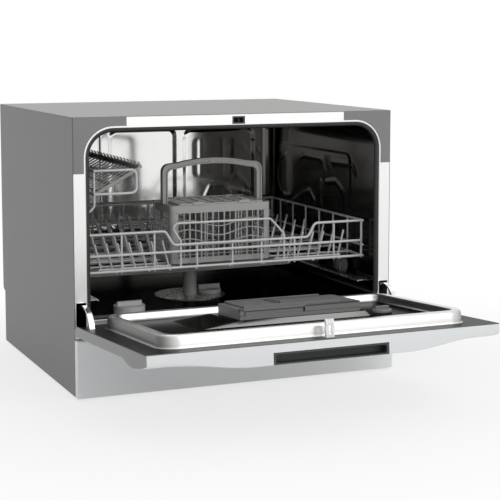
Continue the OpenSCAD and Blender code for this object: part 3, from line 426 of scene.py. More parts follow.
def opening(grow, step=40):
    """Outline of the opening, larger all round, with points on its long sides."""
    w, z0, z1, r0, r1 = OPEN_W + grow, OPEN_LOW - grow, OPEN_TOP + grow, LOW_R + grow, TOP_R + grow
    loop = (arc(w - r0, z0 + r0, r0, -90, 0, 5) + arc(w - r1, z1 - r1, r1, 0, 90, 14)
            + arc(-w + r1, z1 - r1, r1, 90, 180, 14) + arc(-w + r0, z0 + r0, r0, 180, 270, 5))
    out = []
    for i, a in enumerate(loop):
        b = loop[(i + 1) % len(loop)]
        k = max(1, int(dist(a, b) / step))
        out += [(a[0] + (b[0] - a[0]) * q / k, a[1] + (b[1] - a[1]) * q / k) for q in range(k)]
    return out


def opening_skin(s, profile):
    """Profile of growth and depth, round the opening."""
    rings = [[(x, y, z) for x, z in opening(grow)] for grow, y in profile]
    s.skin(rings + [rings[0]])


def cabinet_sides():
    outline = [(0, FOOT_Z), (STEP_Y, FOOT_Z)] + LEDGE + [(BODY_D, INNER_H), (0, INNER_H)]
    for side, name in ((-1, "left"), (1, "right")):
        s = Shape()
        s.prism(outline, *span(side, INNER_W, HALF_W), "x")
        # front edge turned in behind the frame
        x0, x1 = span(side, 262, 274.2)
        s.box((x0, 1.5, 155), (x1, 2.5, 430))
        s.make("cabinet_side_" + name, side_paint_painted_shade, "cabinet", ["side_panel_" + name], "painted_grey",
               bevel=0.45)


def cabinet_top():
    s = Shape()
    s.box((-HALF_W, 0, INNER_H), (HALF_W, BODY_D, BODY_H))
    # edges turned down, with a gap at the front for the latch keep
    for x0, x1, y in ((-273.4, -13, 1.5), (13, 273.4, 1.5), (-273.4, 273.4, 467.3)):
        s.box((x0, y, 424.8), (x1, y + SHEET, 437))
    s.make("cabinet_top", top_paint, "cabinet", ["top_panel"], "painted_top", bevel=0.5, segs=3)


def cabinet_back():
    s = Shape()
    y0 = STEP_Y - SHEET
    s.box((-BACK_W, BODY_D - SHEET, LEDGE_Z + LEDGE_R), (BACK_W, BODY_D, 436.6))
    s.box((-BACK_W, y0, 62.5), (BACK_W, STEP_Y, LEDGE_Z))
    inside = arc(LEDGE_Y, LEDGE_Z + LEDGE_R, LEDGE_R - SHEET, 0, -90, 6)
    s.prism(LEDGE + inside + [(y0, LEDGE_Z + SHEET)], -BACK_W, BACK_W, "x")
    # openings for the water inlet, the drain and the gland
    holes = [[(x + r * cos(t), 52 + r * sin(t)) for t in turns(32, -1)]
             for x, r in ((205, 13.5), (150, 10.3), (-190, 9.3))]
    s.plate([(-BACK_W, FOOT_Z), (BACK_W, FOOT_Z), (BACK_W, 62.6), (-BACK_W, 62.6)], holes, y0, STEP_Y, "y")
    s.make("cabinet_back", side_paint_painted_shade, "cabinet", ["back_panel"], "painted_grey", bevel=0.3)


def kick_panel():
    s = Shape()
    front = -14
    s.prism([(-HALF_W, 0), (-HALF_W, front), (HALF_W, front), (HALF_W, 0), (INNER_W, 0),
             (INNER_W, front + SHEET), (-INNER_W, front + SHEET), (-INNER_W, 0)], FOOT_Z, 92.4)
    s.box((-HALF_W, front, 91.8), (HALF_W, 0, 93))
    s.make("kick_panel", kick_paint_painted_light, "cabinet", ["kick_plate"], "painted_light", bevel=0.6, segs=3)


def front_frame():
    s = Shape()
    holes = [opening(0)[::-1], window(256, 272, 97, 150.5), window(-272, -256, 97, 150.5),
             window(-11, 11, 421.5, 434)]
    s.plate([(-INNER_W, 94), (INNER_W, 94), (INNER_W, INNER_H), (-INNER_W, INNER_H)], holes, 0, SHEET, "y")
    s.make("front_frame_plate", frame_steel, "cabinet", ["front_frame"], "steel")
    s = Shape()
    opening_skin(s, [(1.2, 0.05), (0.9, -0.3), (0.4, -0.4), (-0.1, 0.1), (-0.4, 1.0), (-0.4, 3.2), (0.3, 3.2),
                     (0.7, 1.2), (1.2, 1.0)])
    s.make("opening_lip", lip_steel, "cabinet", slot="steel", angle=60)


def corner_trim():
    s = Shape()
    gap, x_in, z_low = 3.0, 187.8, 350.8
    outline = ([(x_in, OPEN_TOP + gap)] + arc(OPEN_W - TOP_R, OPEN_TOP - TOP_R, TOP_R + gap, 90, 0, 16)
               + [(OPEN_W + gap, z_low), (INNER_W, z_low), (INNER_W, INNER_H), (x_in, INNER_H)])
    for side in (-1, 1):
        s.prism([(side * x, z) for x, z in outline], -0.8, -0.02, "y")
    s.make("corner_trim", corner_paint, "cabinet", ["corner_plates"], "corner_grey", bevel=0.25)


def latch_keep():
    s = Shape()
    mouth = round_hole(-8.6, 423.6, 8.6, 431.9, 1.4, 5)
    s.plate(round_rect(-10.7, 421.8, 10.7, 433.7, 2.4, 5), [mouth], 0.0, 3.0, "y")
    s.plate(round_rect(-10.2, 422.3, 10.2, 433.2, 2, 5), [mouth], 3.0, 30, "y")
    s.box((-9, 28.5, 423), (9, 30, 432.6))
    # divider that stands between the cheeks of the shut latch
    s.box((1.0, 3.2, 424), (2.0, 11.2, 431.6))
    s.make("latch_keep", striker_plastic, "cabinet", ["latch_striker"], "dark_plastic", bevel=0.35)


def tub_gasket():
    s = Shape()
    opening_skin(s, [(-0.3, 1.25), (-2.0, 0.9), (-4.2, 1.3), (-5.8, 2.6), (-6.5, 4.4), (-6.2, 6.6),
                     (-4.6, 8.4), (-0.3, 8.6)])
    s.make("tub_gasket", rubber, "cabinet", ["door_seal"], "rubber_seal", angle=60)


# Tub, with pressed panels and beads

TUB_W, TUB_Y0, TUB_Y1, BACK_R, GRID = 250.0, 9.4, 432.0, 24.0, 3.2
TUB_R = TOP_R - 4
# Half the width and the depths of the opening over the tub's floor
FLOOR_W, FLOOR_Y0, FLOOR_Y1 = 226.5, 24, 407.9
# Beads in the side walls, as paths of depth and height
SIDE_BEADS = ([(364, 338), (389, 329), (401, 311), (401, 286), (389, 266), (363, 258), (338, 262)],
              [(301, 334), (282, 342), (204, 340), (195, 322)],
              [(177, 328), (169, 339), (89, 340), (76, 326)],
              [(373, 238), (334, 249), (281, 273), (258, 278), (236, 262), (230, 236)],
              [(281, 240), (276, 266), (258, 278)],
              [(190, 300), (150, 306), (120, 290), (112, 262), (128, 236), (170, 226)],
              [(210, 300), (214, 268), (200, 240)])


def soft_step(k):
    k = np.clip(k, 0, 1)
    return k * k * (3 - 2 * k)


def stroke(p, path, width):
    """Ridge along a path, 1 on it and 0 a width away."""
    d = np.full(p[0].shape, 1e9)
    for (ax, az), (bx, bz) in zip(path, path[1:]):
        dx, dz = bx - ax, bz - az
        t = np.clip(((p[0] - ax) * dx + (p[1] - az) * dz) / (dx * dx + dz * dz + 1e-9), 0, 1)
        d = np.minimum(d, np.hypot(p[0] - ax - t * dx, p[1] - az - t * dz))
    return soft_step(1 - d / width)


def pad(p, x0, z0, x1, z1, r, edge=5):
    """Plateau with rounded corners and a soft edge."""
    cx, cz, hx, hz = (x0 + x1) / 2, (z0 + z1) / 2, (x1 - x0) / 2, (z1 - z0) / 2
    qx, qz = np.abs(p[0] - cx) - hx + r, np.abs(p[1] - cz) - hz + r
    d = np.hypot(np.maximum(qx, 0), np.maximum(qz, 0)) + np.minimum(np.maximum(qx, qz), 0) - r
    return soft_step(0.5 - d / edge)


def tub_section(q):
    """Section of the tub, q further in, fine on its side walls."""
    lr, ur = max(5.0, LOW_R - q * 0.3), max(14.0, TUB_R - q * 0.8)
    rows = int((OPEN_TOP - OPEN_LOW - LOW_R - TUB_R) / GRID)
    low, top, w = OPEN_LOW + q, OPEN_TOP - q, TUB_W - q
    right = [(w, z) for z in np.linspace(low + lr, top - ur, rows)]
    roof = np.linspace(w - ur, -w + ur, 16)[1:-1]
    rim = min(226, w - lr - 0.5)
    return (right + arc(w - ur, top - ur, ur, 0, 90, 12)[1:] + [(x, top) for x in roof]
            + arc(-w + ur, top - ur, ur, 90, 180, 12)[:-1] + [(-a, b) for a, b in right[::-1]]
            + arc(-w + lr, low + lr, lr, 180, 270, 4)[1:] + [(x, low) for x in (-rim, -80, 80, rim)]
            + arc(w - lr, low + lr, lr, 270, 360, 4)[:-1])


def tub_walls():
    s = Shape()
    base = tub_section(0)
    upright = np.array([abs(abs(x) - TUB_W) < 0.01 for x, z in base])
    heights = np.array([z for x, z in base])
    bend_y = TUB_Y1 - BACK_R
    rings = []
    for y in list(np.arange(TUB_Y0, bend_y, GRID)) + [bend_y]:
        p = (np.full(len(base), y), heights)
        relief = 1.5 * pad(p, 96, 168, 418, 357, 16)
        for path in SIDE_BEADS:
            relief = relief + 1.2 * stroke(p, path, 5.5)
        relief = np.where(upright, relief, 0.0)
        rings.append([(x - copysign(h, x), y, z) for (x, z), h in zip(base, relief)])
    # round turn into the back wall
    for k in range(1, 9):
        t = radians(90 * k / 8)
        y = bend_y + BACK_R * sin(t)
        rings.append([(x, y, z) for x, z in tub_section(BACK_R * (1 - cos(t)))])
    s.skin(rings)

    def over_floor(p):
        return p.z < OPEN_LOW + 0.5 and abs(p.x) < FLOOR_W and FLOOR_Y0 < p.y < FLOOR_Y1

    s.f = [f for f in s.f if not all(over_floor(s.v[i]) for i in f)]
    # short outer skin, so the sheet shows a thickness at the mouth
    mouth = ((0, TUB_Y0), (-1.1, TUB_Y0), (-1.1, TUB_Y0 + 30))
    s.skin([[(x, y, z) for x, z in tub_section(q)] for q, y in mouth])
    # the side walls are the tub's steel darkened as painted shade
    s.make("tub_walls", tub_steel_painted_shade, "cabinet", ["tub_shell"], "steel", angle=62)


def back_relief(p):
    """Height of the back wall's panels, beads and steps."""
    h = pad(p, -79, 206, 48, 386, 13) + pad(p, 68, 206, 209, 383, 13) + pad(p, -214, 206, -99, 386, 13)
    h = 1.8 * h - 0.3 * pad(p, 88, 296, 166, 366, 7)
    for x in (100, 146):
        h = h + 0.25 * stroke(p, [(x, 300), (x, 362)], 4)
    h = h + 0.4 * stroke(p, [(100, 232), (120, 276), (150, 276), (176, 232)], 5)
    return h + 0.8 * stroke(p, [(-226, 182), (226, 182)], 6) + 0.6 * stroke(p, [(-226, 160), (226, 160)], 6)


def tub_back():
    # the foot below split is the tub's steel darkened as painted shade; the wall above keeps the bright
    # back_steel
    split = 199
    for name, mat, lo, hi in (("tub_back_wall", back_steel, split, OPEN_TOP - 21),
                              ("tub_back_foot", tub_steel_painted_shade, OPEN_LOW + 21, split)):
        xs, zs = np.arange(-229, 229.1, GRID), np.linspace(lo, hi, int((hi - lo) / 3) + 1)
        X, Z = np.meshgrid(xs, zs, indexing="ij")
        Y = TUB_Y1 - 0.12 - back_relief((X, Z))
        a, b = X.shape
        s = Shape()
        s.add([(X[i, j], Y[i, j], Z[i, j]) for i in range(a) for j in range(b)],
              [(i * b + j, (i + 1) * b + j, (i + 1) * b + j + 1, i * b + j + 1)
               for i in range(a - 1) for j in range(b - 1)])
        s.make(name, mat, "cabinet", slot="steel", angle=62)


def roller_rails():
    s = Shape()
    for side in (-1, 1):
        s.prism([(side * x, z) for x, z in (
            (249.4, 146.4), (249.4, 149.8), (229.0, 149.8), (228.0, 148.8), (228.0, 146.6), (229.2, 146.6),
            (229.4, 148.3), (248.0, 148.3), (248.2, 146.4))], 24, 424, "y")
    s.make("roller_rails", plain_steel, "cabinet", ["basket_rails"], "steel", bevel=0.3)


# Door, drawn closed: w from the hinge axis inwards, u from the hinge axis upwards

# Outer face, upper edge, and joint between the two panels
FACE_W, DOOR_U, JOINT_U = -7.5, 330, 222
# Height and places of the buttons
BUTTON_U, BUTTONS = 270, ((176, "power"), (200, "program"), (224, "start"))
# Opening of the raised rim in the flange
RIM = (-244, 22, 244, 303, 34, 12)


def door_outer_panel():
    """Outer panel, a folded sheet cut away round the hinge ears."""
    s = Shape(door_point)
    edge = [(FACE_W + SHEET - SHEET * sin(radians(t)), -10 + SHEET - SHEET * cos(radians(t)))
            for t in (90, 60, 30, 0)]
    upper = [(8.2, 221.6), (-7.0, 221.6), (FACE_W, 221.0)]
    full = edge + [(1.2, -10), (8.2, -3.0)] + upper
    cut_away = edge + [(-6.4, -10), (-6.4, 14), (8.2, 14)] + upper
    xs = (-HALF_W, -272.7, -255, 255, 272.7, HALF_W)
    for x0, x1, profile in zip(xs, xs[1:], (full, cut_away, full, cut_away, full)):
        s.prism(profile, x0, x1, "x")
    s.make("door_outer_panel", light_paint, "door", ["door_panel"], "painted_light", bevel=0.5, angle=50)


def bulge(x):
    full, none = 118, 250
    a = abs(x)
    return 1.0 if a < full else 0.0 if a > none else (1 + cos(pi * (a - full) / (none - full))) / 2


def control_panel():
    s = Shape(door_point)
    flat = [(FACE_W, JOINT_U), (-9.6, 232), (-13.5, 244), (-15.4, 256), (-16.4, 268), (-16.5, 276),
            (-15.2, 290), (-12, 310), (-7.6, 327), (-6.4, 329.4), (-5.0, DOOR_U)]
    bulged = [(FACE_W, JOINT_U), (-10.4, 232), (-14.5, 244), (-17.3, 256), (-19.4, 268), (-20.4, 280),
              (-20.5, 292), (-20.5, 310), (-20.5, 328.4), (-20.1, 329.6), (-19.0, DOOR_U)]
    # how far the ends are rounded off
    ends = {HALF_W: 0.9, 274.3: 0.25}
    rings = []
    for x in [-HALF_W, -274.3, -272.5] + [float(v) for v in range(-264, 265, 6)] + [272.5, 274.3, HALF_W]:
        k, e = bulge(x), ends.get(abs(x), 0.0)
        ring = [(x, w0 + (w1 - w0) * k + e, u0 + (u1 - u0) * k - (e if u0 > 320 else 0))
                for (w0, u0), (w1, u1) in zip(flat, bulged)]
        rings.append(ring + [(x, 8.2, DOOR_U - e), (x, 8.2, JOINT_U)])
    s.loft(rings)
    panel = s.make("door_control_panel", light_paint, "door", ["control_panel"], "painted_light", angle=30)
    # room for the grip, the display and the buttons
    room = Shape(door_point)
    room.box((-90.3, -30, 305.7), (90.3, -3.2, 335))
    room.prism(round_rect(-60.3, 255.7, 60.3, 276.3, 2.2, 4), -30, -9.2, "y")
    for x, name in BUTTONS:
        room.turned([(6.3, -30), (6.3, -9.4)], (x, 0, BUTTON_U), "y", 40)
    cut(panel, room)


def grip_pocket():
    s = Shape(door_point)
    outline = [(-90.2, -20.3), (90.2, -20.3), (90.2, -3.4), (-90.2, -3.4)]
    s.prism(outline, 306, 313)
    s.plate(outline, [round_hole(-86.5, -18.2, 86.5, -6.4, 3, 5)], 312.8, DOOR_U)
    s.make("grip_pocket", grip_plastic, "door", ["grip_insert"], "dark_plastic", bevel=0.5, segs=3)


def display_and_buttons():
    s = Shape(door_point)
    s.plate(round_rect(-60, 256, 60, 276, 2, 4), [], -16.6, -9.4, "y")
    s.make("display_glass", black_gloss, "door", ["display_window"], "display_dark", bevel=0.4)
    for x, name in BUTTONS:
        s = Shape(door_point)
        s.turned([(2.5, -4.1), (2.5, -8), (8, -8), (8, -9.6), (6.0, -9.7), (6.0, -16.8), (5.6, -17.4),
                  (4.6, -17.55), (3.2, -17.2), (1.2, -17.0)], (x, 0, BUTTON_U), "y", 40)
        s.make("button_cap_" + name, button_plastic, name + "_button", ["button_" + name], "button_dark")


def door_liner():
    """Deep pan, raised rim with round shoulders, and flange."""
    pan_w = 17.5
    pan = Shape(door_point)
    platform = (-150, 76, 134, 200, 10, 5)
    pan.plate(round_rect(-219.5, 46.5, 219.5, 278.5, 9.5, 12), [round_hole(*platform)], pan_w, 16.3, "y")
    # platform pressed up round the dispenser, with sloping sides
    foot = [(x, pan_w, u) for x, u in round_rect(*platform)]
    pan.loft([foot, [(x, 24.5, u) for x, u in round_rect(-90, 84, 127, 193, 6, 5)]], cap0=False)
    # the pan is the liner's steel darkened as painted reflection of the dark tub
    pan.make("door_liner_pan", pan_steel_painted_shade, "door", slot="steel", angle=38)

    s = Shape(door_point)
    x0, u0, x1, u1, r, n = RIM
    profile = [(0.0, 9.5), (0.6, 9.6), (1.3, 10.2), (1.8, 11.3), (2.0, 13.0), (2.6, 22.5), (3.2, 25.2),
               (4.4, 27.2), (6.2, 28.3), (8.4, 28.5), (14.6, 28.5), (16.2, 28.2), (17.6, 27.0), (18.4, 25.2),
               (19.4, 21.4), (20.4, 19.2), (22.0, 18.0), (24.5, pan_w)]
    s.skin([[(x, w, u) for x, u in round_rect(x0 + q, u0 + q, x1 - q, u1 - q, max(3.0, r - q), n)]
            for q, w in profile])
    s.make("door_inner_liner", liner_steel, "door", ["door_liner"], "steel", angle=38)

    # flange round the rim, cut for the hinges
    s = Shape(door_point)
    ear_x, ear_u, low_u, top_u = 256, 14, -3.4, 329.6
    flange = [(-HALF_W, ear_u), (-ear_x, ear_u), (-ear_x, low_u), (ear_x, low_u), (ear_x, ear_u),
              (HALF_W, ear_u), (HALF_W, top_u), (-HALF_W, top_u)]
    holes = [round_hole(*RIM), window(257.2, 265.8, 16, 43), window(-265.8, -257.2, 16, 43)]
    s.plate(flange, holes, 8.3, 9.5, "y")
    # the flange is the liner's steel darkened as painted shade
    s.make("door_liner_flange", flange_steel_painted_shade, "door", slot="steel", angle=38)


def latch_claw():
    """Two cheeks, a nose and a foot between them, and a slotted front plate."""
    s = Shape(door_point)
    u0 = 316.3
    cheek = [(9.5, -6), (9.5, 6), (27, 4.6), (28, 6.2), (31, 6.2), (35.4, 3.6), (36, 2.6), (36, 1.4),
             (35.2, 0.4), (32, 0), (10.6, 0), (10.5, -6)]
    nose = [(26, 0), (26.5, 4.8), (31, 6.0), (35, 3.4), (35.7, 1.2), (32, 0)]
    foot = [(9.5, -5.6), (9.5, 5.8), (14, 5.4), (14, 0.1), (10.5, 0.1), (10.4, -5.6)]
    for x0, x1, profile in ((-5, -1.8, cheek), (4.8, 8, cheek), (-2.4, 5.4, nose), (-2.4, 5.4, foot)):
        s.prism([(w, u0 + u) for w, u in profile], x0, x1, "x")
    front = [(-5.4, 9.5), (8.4, 9.5), (8.4, 29)] + arc(1.5, 29, 6.9, 0, 180, 14)[1:]
    oval = arc(1.5, 26, 1.9, 0, 180, 8) + arc(1.5, 15, 1.9, 180, 360, 8)
    s.plate(front, [oval[::-1]], u0 + 3.2, u0 + 4.9)
    s.make("latch_claw", white_plastic, "door", ["latch_hook"], "light_plastic", bevel=0.6, segs=3, angle=40)


def dispenser():
    s = Shape(door_point)
    x0, x1, u1 = -79, 119, 186
    well = round_hole(-65, 108, 5, 170, 8, 5)
    s.plate(round_rect(x0, 92, x1, u1, 8, 6), [], 17.6, 19.6, "y")
    s.plate(round_rect(x0, 92, x1, 181, 8, 6), [well], 19.4, 40, "y")
    # upper side with a long slot in it
    s.box((x0 + 106, 30.2, 180), (x1, 40, u1))
    s.box((x0, 30.2, 180), (x0 + 7, 40, u1))
    s.box((x0, 37.2, 180), (x1, 40, u1))
    s.box((x0, 19.4, 180), (x1, 29.8, u1))
    s.box((-70, 19, 183.6), (24, 36, 184.2))
    # guides of the lid, each with a lip over it
    for u, lip in ((100, 102), (174, 172)):
        s.box((-69, 39.9, u), (89, 44, u + 4))
        s.box((-69, 42.6, lip), (89, 44, lip + 4))
    s.make("dispenser_housing", dispenser_plastic, "door", ["dispenser_body"], "grey_plastic", bevel=0.7,
           angle=40)
    s = Shape(door_point)
    s.plate(round_rect(-68, 104.4, 8, 173.6, 3, 4), [], 40.3, 42.4, "y")
    for x in (-10, -4):
        s.box((x, 42.2, 114), (x + 2, 45, 164))
    s.box((-60, 42.3, 130), (-22, 43, 148))
    s.make("dispenser_slide", dispenser_plastic, "detergent_cover", ["dispenser_lid"], "grey_plastic",
           bevel=0.45)


def rinse_cap():
    s = Shape(door_point)
    cx, cu, r = 162, 176, 15
    s.turned([(10, 13.5), (10, 17.7), (r, 17.9), (r, 21.6), (14.4, 22.5), (12.6, 22.8), (12.0, 22.2),
              (5, 22.0)], (cx, 0, cu), "y")
    s.prism(round_rect(cx - 12, cu - 2, cx + 12, cu + 2, 1.6, 4), 21.8, 27.5, "y")
    for t in turns(24):
        s.tube([(cx + r * cos(t), w, cu + r * sin(t)) for w in (18.4, 21.2)], 0.5, 6)
    s.make("rinse_cap_knob", dispenser_plastic, "rinse", ["rinse_cap"], "light_plastic", bevel=0.3)


# Rack, drawn where it stands in the tub

RACK_W, RACK_Y0, RACK_Y1, RACK_Z = 243.5, 38.0, 414.0, 189.5
RACK_D = RACK_Y1 - RACK_Y0
# Heights of the wires: dipped front, top, top of the left side, and middle
DIP_Z, TOP_Z, LEFT_Z, MID_Z = RACK_Z + 37, RACK_Z + 60, RACK_Z + 71, RACK_Z + 26
# Radii of the wires, and the step between wires that cross
WIRE_R, POST_R, THIN_R, WELD = 2.2, 2.05, 1.7, 1.2
RAIL_X, SHELF_Z, CUP_Z = -229.5, 314.0, 351.0
ROLLER_Y = {"front": 108, "middle": 220, "rear": 376}
ROLLER_Z, ROLLER_X0, ROLLER_X1, ROLLER_R = 164.8, 234.1, 245.1, 14.7


def rack_piece(s, name, replaced):
    s.make(name, wire_coat, "rack", [replaced], "coated_wire")


def turned_in(s, y, z, back):
    """Wire across the width, its ends turned in."""
    x = RACK_W - 1
    s.wire(fillet([(-x, back, z), (-x, y, z), (x, y, z), (x, back, z)], 4), WIRE_R)


def rack_front():
    s = Shape()
    x, y = RACK_W - 1, RACK_Y0
    s.wire(fillet([(-x, y + 6, TOP_Z), (-x, y, TOP_Z), (-112, y, TOP_Z), (-98, y, DIP_Z), (141, y, DIP_Z),
                   (154, y, TOP_Z), (x, y, TOP_Z), (x, y + 6, TOP_Z)], [0, 3, 9, 9, 9, 9, 3, 0]), WIRE_R)
    for z in (MID_Z, RACK_Z):
        turned_in(s, y, z, y + 6)
    # raised loop inside the front
    y = RACK_Y0 + 1.6
    low, high = RACK_Z - 1, RACK_Z + 71.5
    s.wire(fillet([(-85, y, low), (-85, y, DIP_Z + 6), (-104, y, high), (73, y, high), (98, y, DIP_Z + 8),
                   (98, y, low)], [0, 9, 8, 8, 9, 0]), WIRE_R - 0.3)
    y = RACK_Y0 + 1.4
    for x in (-185, -130, -57, 5, 57, 117, 190):
        s.wire([(x, y, RACK_Z - 3), (x, y, (DIP_Z if -112 < x < 154 else TOP_Z) + 1)], THIN_R)
    rack_piece(s, "rack_front_wires", "rack_front")


def rack_sides():
    for side, top, name in ((1, TOP_Z, "right"), (-1, LEFT_Z, "left")):
        s = Shape()
        for z in (RACK_Z, MID_Z - 8, top):
            s.wire([(side * RACK_W, RACK_Y0 - 1.5, z), (side * RACK_W, RACK_Y1 + 1.5, z)], WIRE_R)
        x = side * RACK_W - side * 1.4
        for k in (0.14, 0.29, 0.44, 0.59, 0.74, 0.89):
            y = RACK_Y0 + k * RACK_D
            s.wire([(x, y, RACK_Z - 3), (x, y, top + 1)], THIN_R)
        for y in (RACK_Y1 - 1.4, RACK_Y0 + 1.4)[:1 if side < 0 else 2]:
            s.wire([(x, y, RACK_Z - 2), (x, y, top + 1)], POST_R)
        if side < 0:
            # posts that lean in and carry the cup rail
            x = WELD - RACK_W
            for k in (WELD / RACK_D, 0.36, 0.79):
                y = RACK_Y0 + k * RACK_D
                s.wire(fillet([(x, y, RACK_Z - 2), (x, y, RACK_Z + 92), (RAIL_X, y, RACK_Z + 105),
                               (RAIL_X, y, CUP_Z + 1)], 8), POST_R)
        rack_piece(s, "rack_%s_wires" % name, "rack_" + name)


def rack_back():
    s = Shape()
    for z in (RACK_Z, MID_Z, TOP_Z):
        turned_in(s, RACK_Y1, z, RACK_Y1 - 6)
    y = RACK_Y1 - 1.4
    for x in range(-180, 181, 60):
        s.wire([(x, y, RACK_Z - 2), (x, y, TOP_Z + 1)], THIN_R)
    rack_piece(s, "rack_back_wires", "rack_back")


def rack_floor():
    s = Shape()
    z = RACK_Z - 2.2
    for x in (-195, -140, -105, -60, 0, 60, 105, 150, 200):
        s.wire([(x, RACK_Y0 - 1, z), (x, RACK_Y1 + 1, z)], THIN_R)
    z = RACK_Z + WELD
    for k in (0.12, 0.3, 0.5, 0.7, 0.88):
        y = RACK_Y0 + k * RACK_D
        s.wire([(-RACK_W - 1, y, z), (RACK_W + 1, y, z)], THIN_R)
    rack_piece(s, "rack_floor_wires", "rack_floor")


def rack_tines():
    """Rows of tines that lean outwards, each on its own wire."""
    s = Shape()
    lean, tall, pitch, row_pitch = radians(14), 42, 19, 77
    z = RACK_Z + WELD
    rows = [(x0, k, 7, way) for k in range(5) for x0, way in ((-215, -1), (91, 1))]
    rows += [(-76, k, 9, -1) for k in (2, 3, 4)]
    for x0, k, n, way in rows:
        y = RACK_Y0 + 16 + k * row_pitch
        s.wire([(x0 - 3, y, z), (x0 + (n - 1) * pitch + 3, y, z)], THIN_R + 0.25)
        for i in range(n):
            a = Vector((x0 + i * pitch, y, z))
            b = a + Vector((way * tall * sin(lean), 0, tall * cos(lean)))
            s.wire([a, b], THIN_R)
            # dipped tip, a little thicker than the wire
            s.wire([b - (b - a).normalized() * 5, b], THIN_R + 0.12)
    rack_piece(s, "rack_tine_rows", "rack_tines")


def cup_rail():
    s = Shape()
    end, x = RACK_Y0 + 0.97 * RACK_D, RAIL_X + 70
    for z in (SHELF_Z, CUP_Z):
        s.wire([(RAIL_X, RACK_Y0 - 1, z), (RAIL_X, end + 1, z)], WIRE_R)
    for y in (RACK_Y0, end):
        s.wire(fillet([(RAIL_X, y, SHELF_Z), (x, y, SHELF_Z), (x, y, CUP_Z), (RAIL_X, y, CUP_Z)], 9), WIRE_R)
    rack_piece(s, "cup_rail_wires", "cup_rail")


def roller(label, y, side, hand):
    """Dark tread with a thin web, and pale hub and spokes."""
    at, which = (0, y, ROLLER_Z), label + "_" + hand
    x0, x1, r = ROLLER_X0, ROLLER_X1, ROLLER_R

    def ring(s, profile, sides):
        s.turned([(radius, side * x) for radius, x in profile], at, "x", sides, closed=True)

    s = Shape()
    ring(s, [(11.2, x0 + 0.4), (11.6, x0), (14.1, x0), (r, x0 + 0.7), (r, x1 - 0.7), (14.1, x1), (11.6, x1),
             (11.2, x1 - 0.4)], 56)
    ring(s, [(5.3, x0 + 4.2), (11.4, x0 + 4.2), (11.4, x0 + 5.6), (5.3, x0 + 5.6)], 56)
    body = "wheel_%s_body" % which
    s.make("roller_" + which, roller_plastic, body, ["wheel_" + which], "grey_plastic", bevel=0.25, angle=40)
    s = Shape()
    ring(s, [(3.1, x0 + 0.3), (5.3, x0 + 0.3), (5.6, x0 + 0.7), (5.6, x1 - 0.7), (5.3, x1 - 0.3),
             (3.1, x1 - 0.3)], 40)
    for k in range(6):
        t = radians(15 + 60 * k)
        c, sn = cos(t), sin(t)
        s.prism([(y + a * c - b * sn, ROLLER_Z + a * sn + b * c)
                 for a, b in ((5.0, -1.1), (11.5, -1.1), (11.5, 1.1), (5.0, 1.1))],
                side * (x0 + 1.0), side * (x1 - 0.8), "x")
    s.make("spokes_" + which, pale_plastic, body, slot="grey_plastic", bevel=0.25, angle=40)


def rollers():
    for label, y in ROLLER_Y.items():
        roller(label, y, -1, "left")
        roller(label, y, 1, "right")


def roller_brackets():
    s = Shape()
    leg = [(-9, 186.5), (-9, 172), (-6, 160), (-3, 157), (3, 157), (6, 160), (9, 172), (9, 186.5)]
    hook = arc(RACK_Z, 0, 4.4, -90, 120, 10) + arc(RACK_Z, 0, 2.3, 120, -90, 10)
    axle = ((3.0, 230), (3.0, 245.4), (4.2, 245.6), (4.2, 246.6), (2.2, 247.3))
    for y in ROLLER_Y.values():
        for side in (-1, 1):
            # leg of the clip, its ribs, saddle and hooks, and the axle
            s.prism([(y + a, z) for a, z in leg], *span(side, 228.1, 232.1), "x")
            lo, hi = span(side, 226.6, 228.4)
            for rib in (y - 7.5, y + 5.5):
                s.box((lo, rib, 164), (hi, rib + 2, 186))
            lo, hi = span(side, 228.1, 244.5)
            s.box((lo, y - 9, 183.5), (hi, y + 9, 187.2))
            for hook_y in (y - 8, y + 4):
                s.prism([(side * RACK_W + x, z) for z, x in hook], hook_y, hook_y + 4, "y")
            s.turned([(r, side * x) for r, x in axle], (0, y, ROLLER_Z), "x", 24)
    s.make("roller_brackets", roller_plastic, "rack", ["wheel_brackets"], "grey_plastic", bevel=0.5, angle=40)


# Cup shelf, drawn in its own plane

SHELF_TILT, SHELF_Y = radians(28), 56


def shelf_point(a, b, h):
    """a from the hinge outwards, b along the hinge, h upwards from the shelf."""
    return cabinet_point(RAIL_X + a * cos(SHELF_TILT) - h * sin(SHELF_TILT), SHELF_Y + b,
                         SHELF_Z + a * sin(SHELF_TILT) + h * cos(SHELF_TILT))


def cup_shelf():
    s = Shape(shelf_point)
    long, gaps, top, thick = 340, 18, -2.5, 4
    pitch, low = (long - 9) / gaps, top - thick
    # hinge bar, free edge and the two ends
    s.box((7, 0, low), (13.6, long, top))
    s.box((84, 0, low), (94, long, top))
    for b in (0, long - 4.6):
        s.box((13.6, b, low - 1.5), (84, b + 4.6, top + 0.4))
    for i in range(1, gaps):
        b = i * pitch + 0.9
        s.box((13.2, b, top - 2.4), (84.4, b + 2.2, top + 0.1))
    for a in (36, 60):
        s.box((a, 4, low - 0.8), (a + 2.4, long - 4, top - 1.8))
    # spikes along the free edge, curved a little
    spike = [(87.5, -0.2), (94, -0.2), (94, 4.6), (93.0, 7.4), (91.2, 8.0), (91.0, 6.6), (91.6, 4.6),
             (90.4, 2.2)]
    for i in range(gaps + 1):
        b = 1 + i * pitch
        s.prism([(a, top + h) for a, h in spike], b, b + 2.4, "y")
    # hooks that clip round the rail
    ring = arc(0, 0, 6.4, 160, -150, 22) + arc(0, 0, 2.3, -150, 160, 22)
    for k in (0.06, 0.26, 0.46, 0.7, 0.94):
        b = k * long - 4
        s.prism(ring, b, b + 8, "y")
        s.prism([(2.4, -6.5), (9, -6.5), (9, -2.5), (4.2, -2.5)], b, b + 8, "y")
    s.make("cup_shelf_grid", grey_plastic, "shelf", ["cup_shelf"], "grey_plastic", bevel=0.45, angle=40)


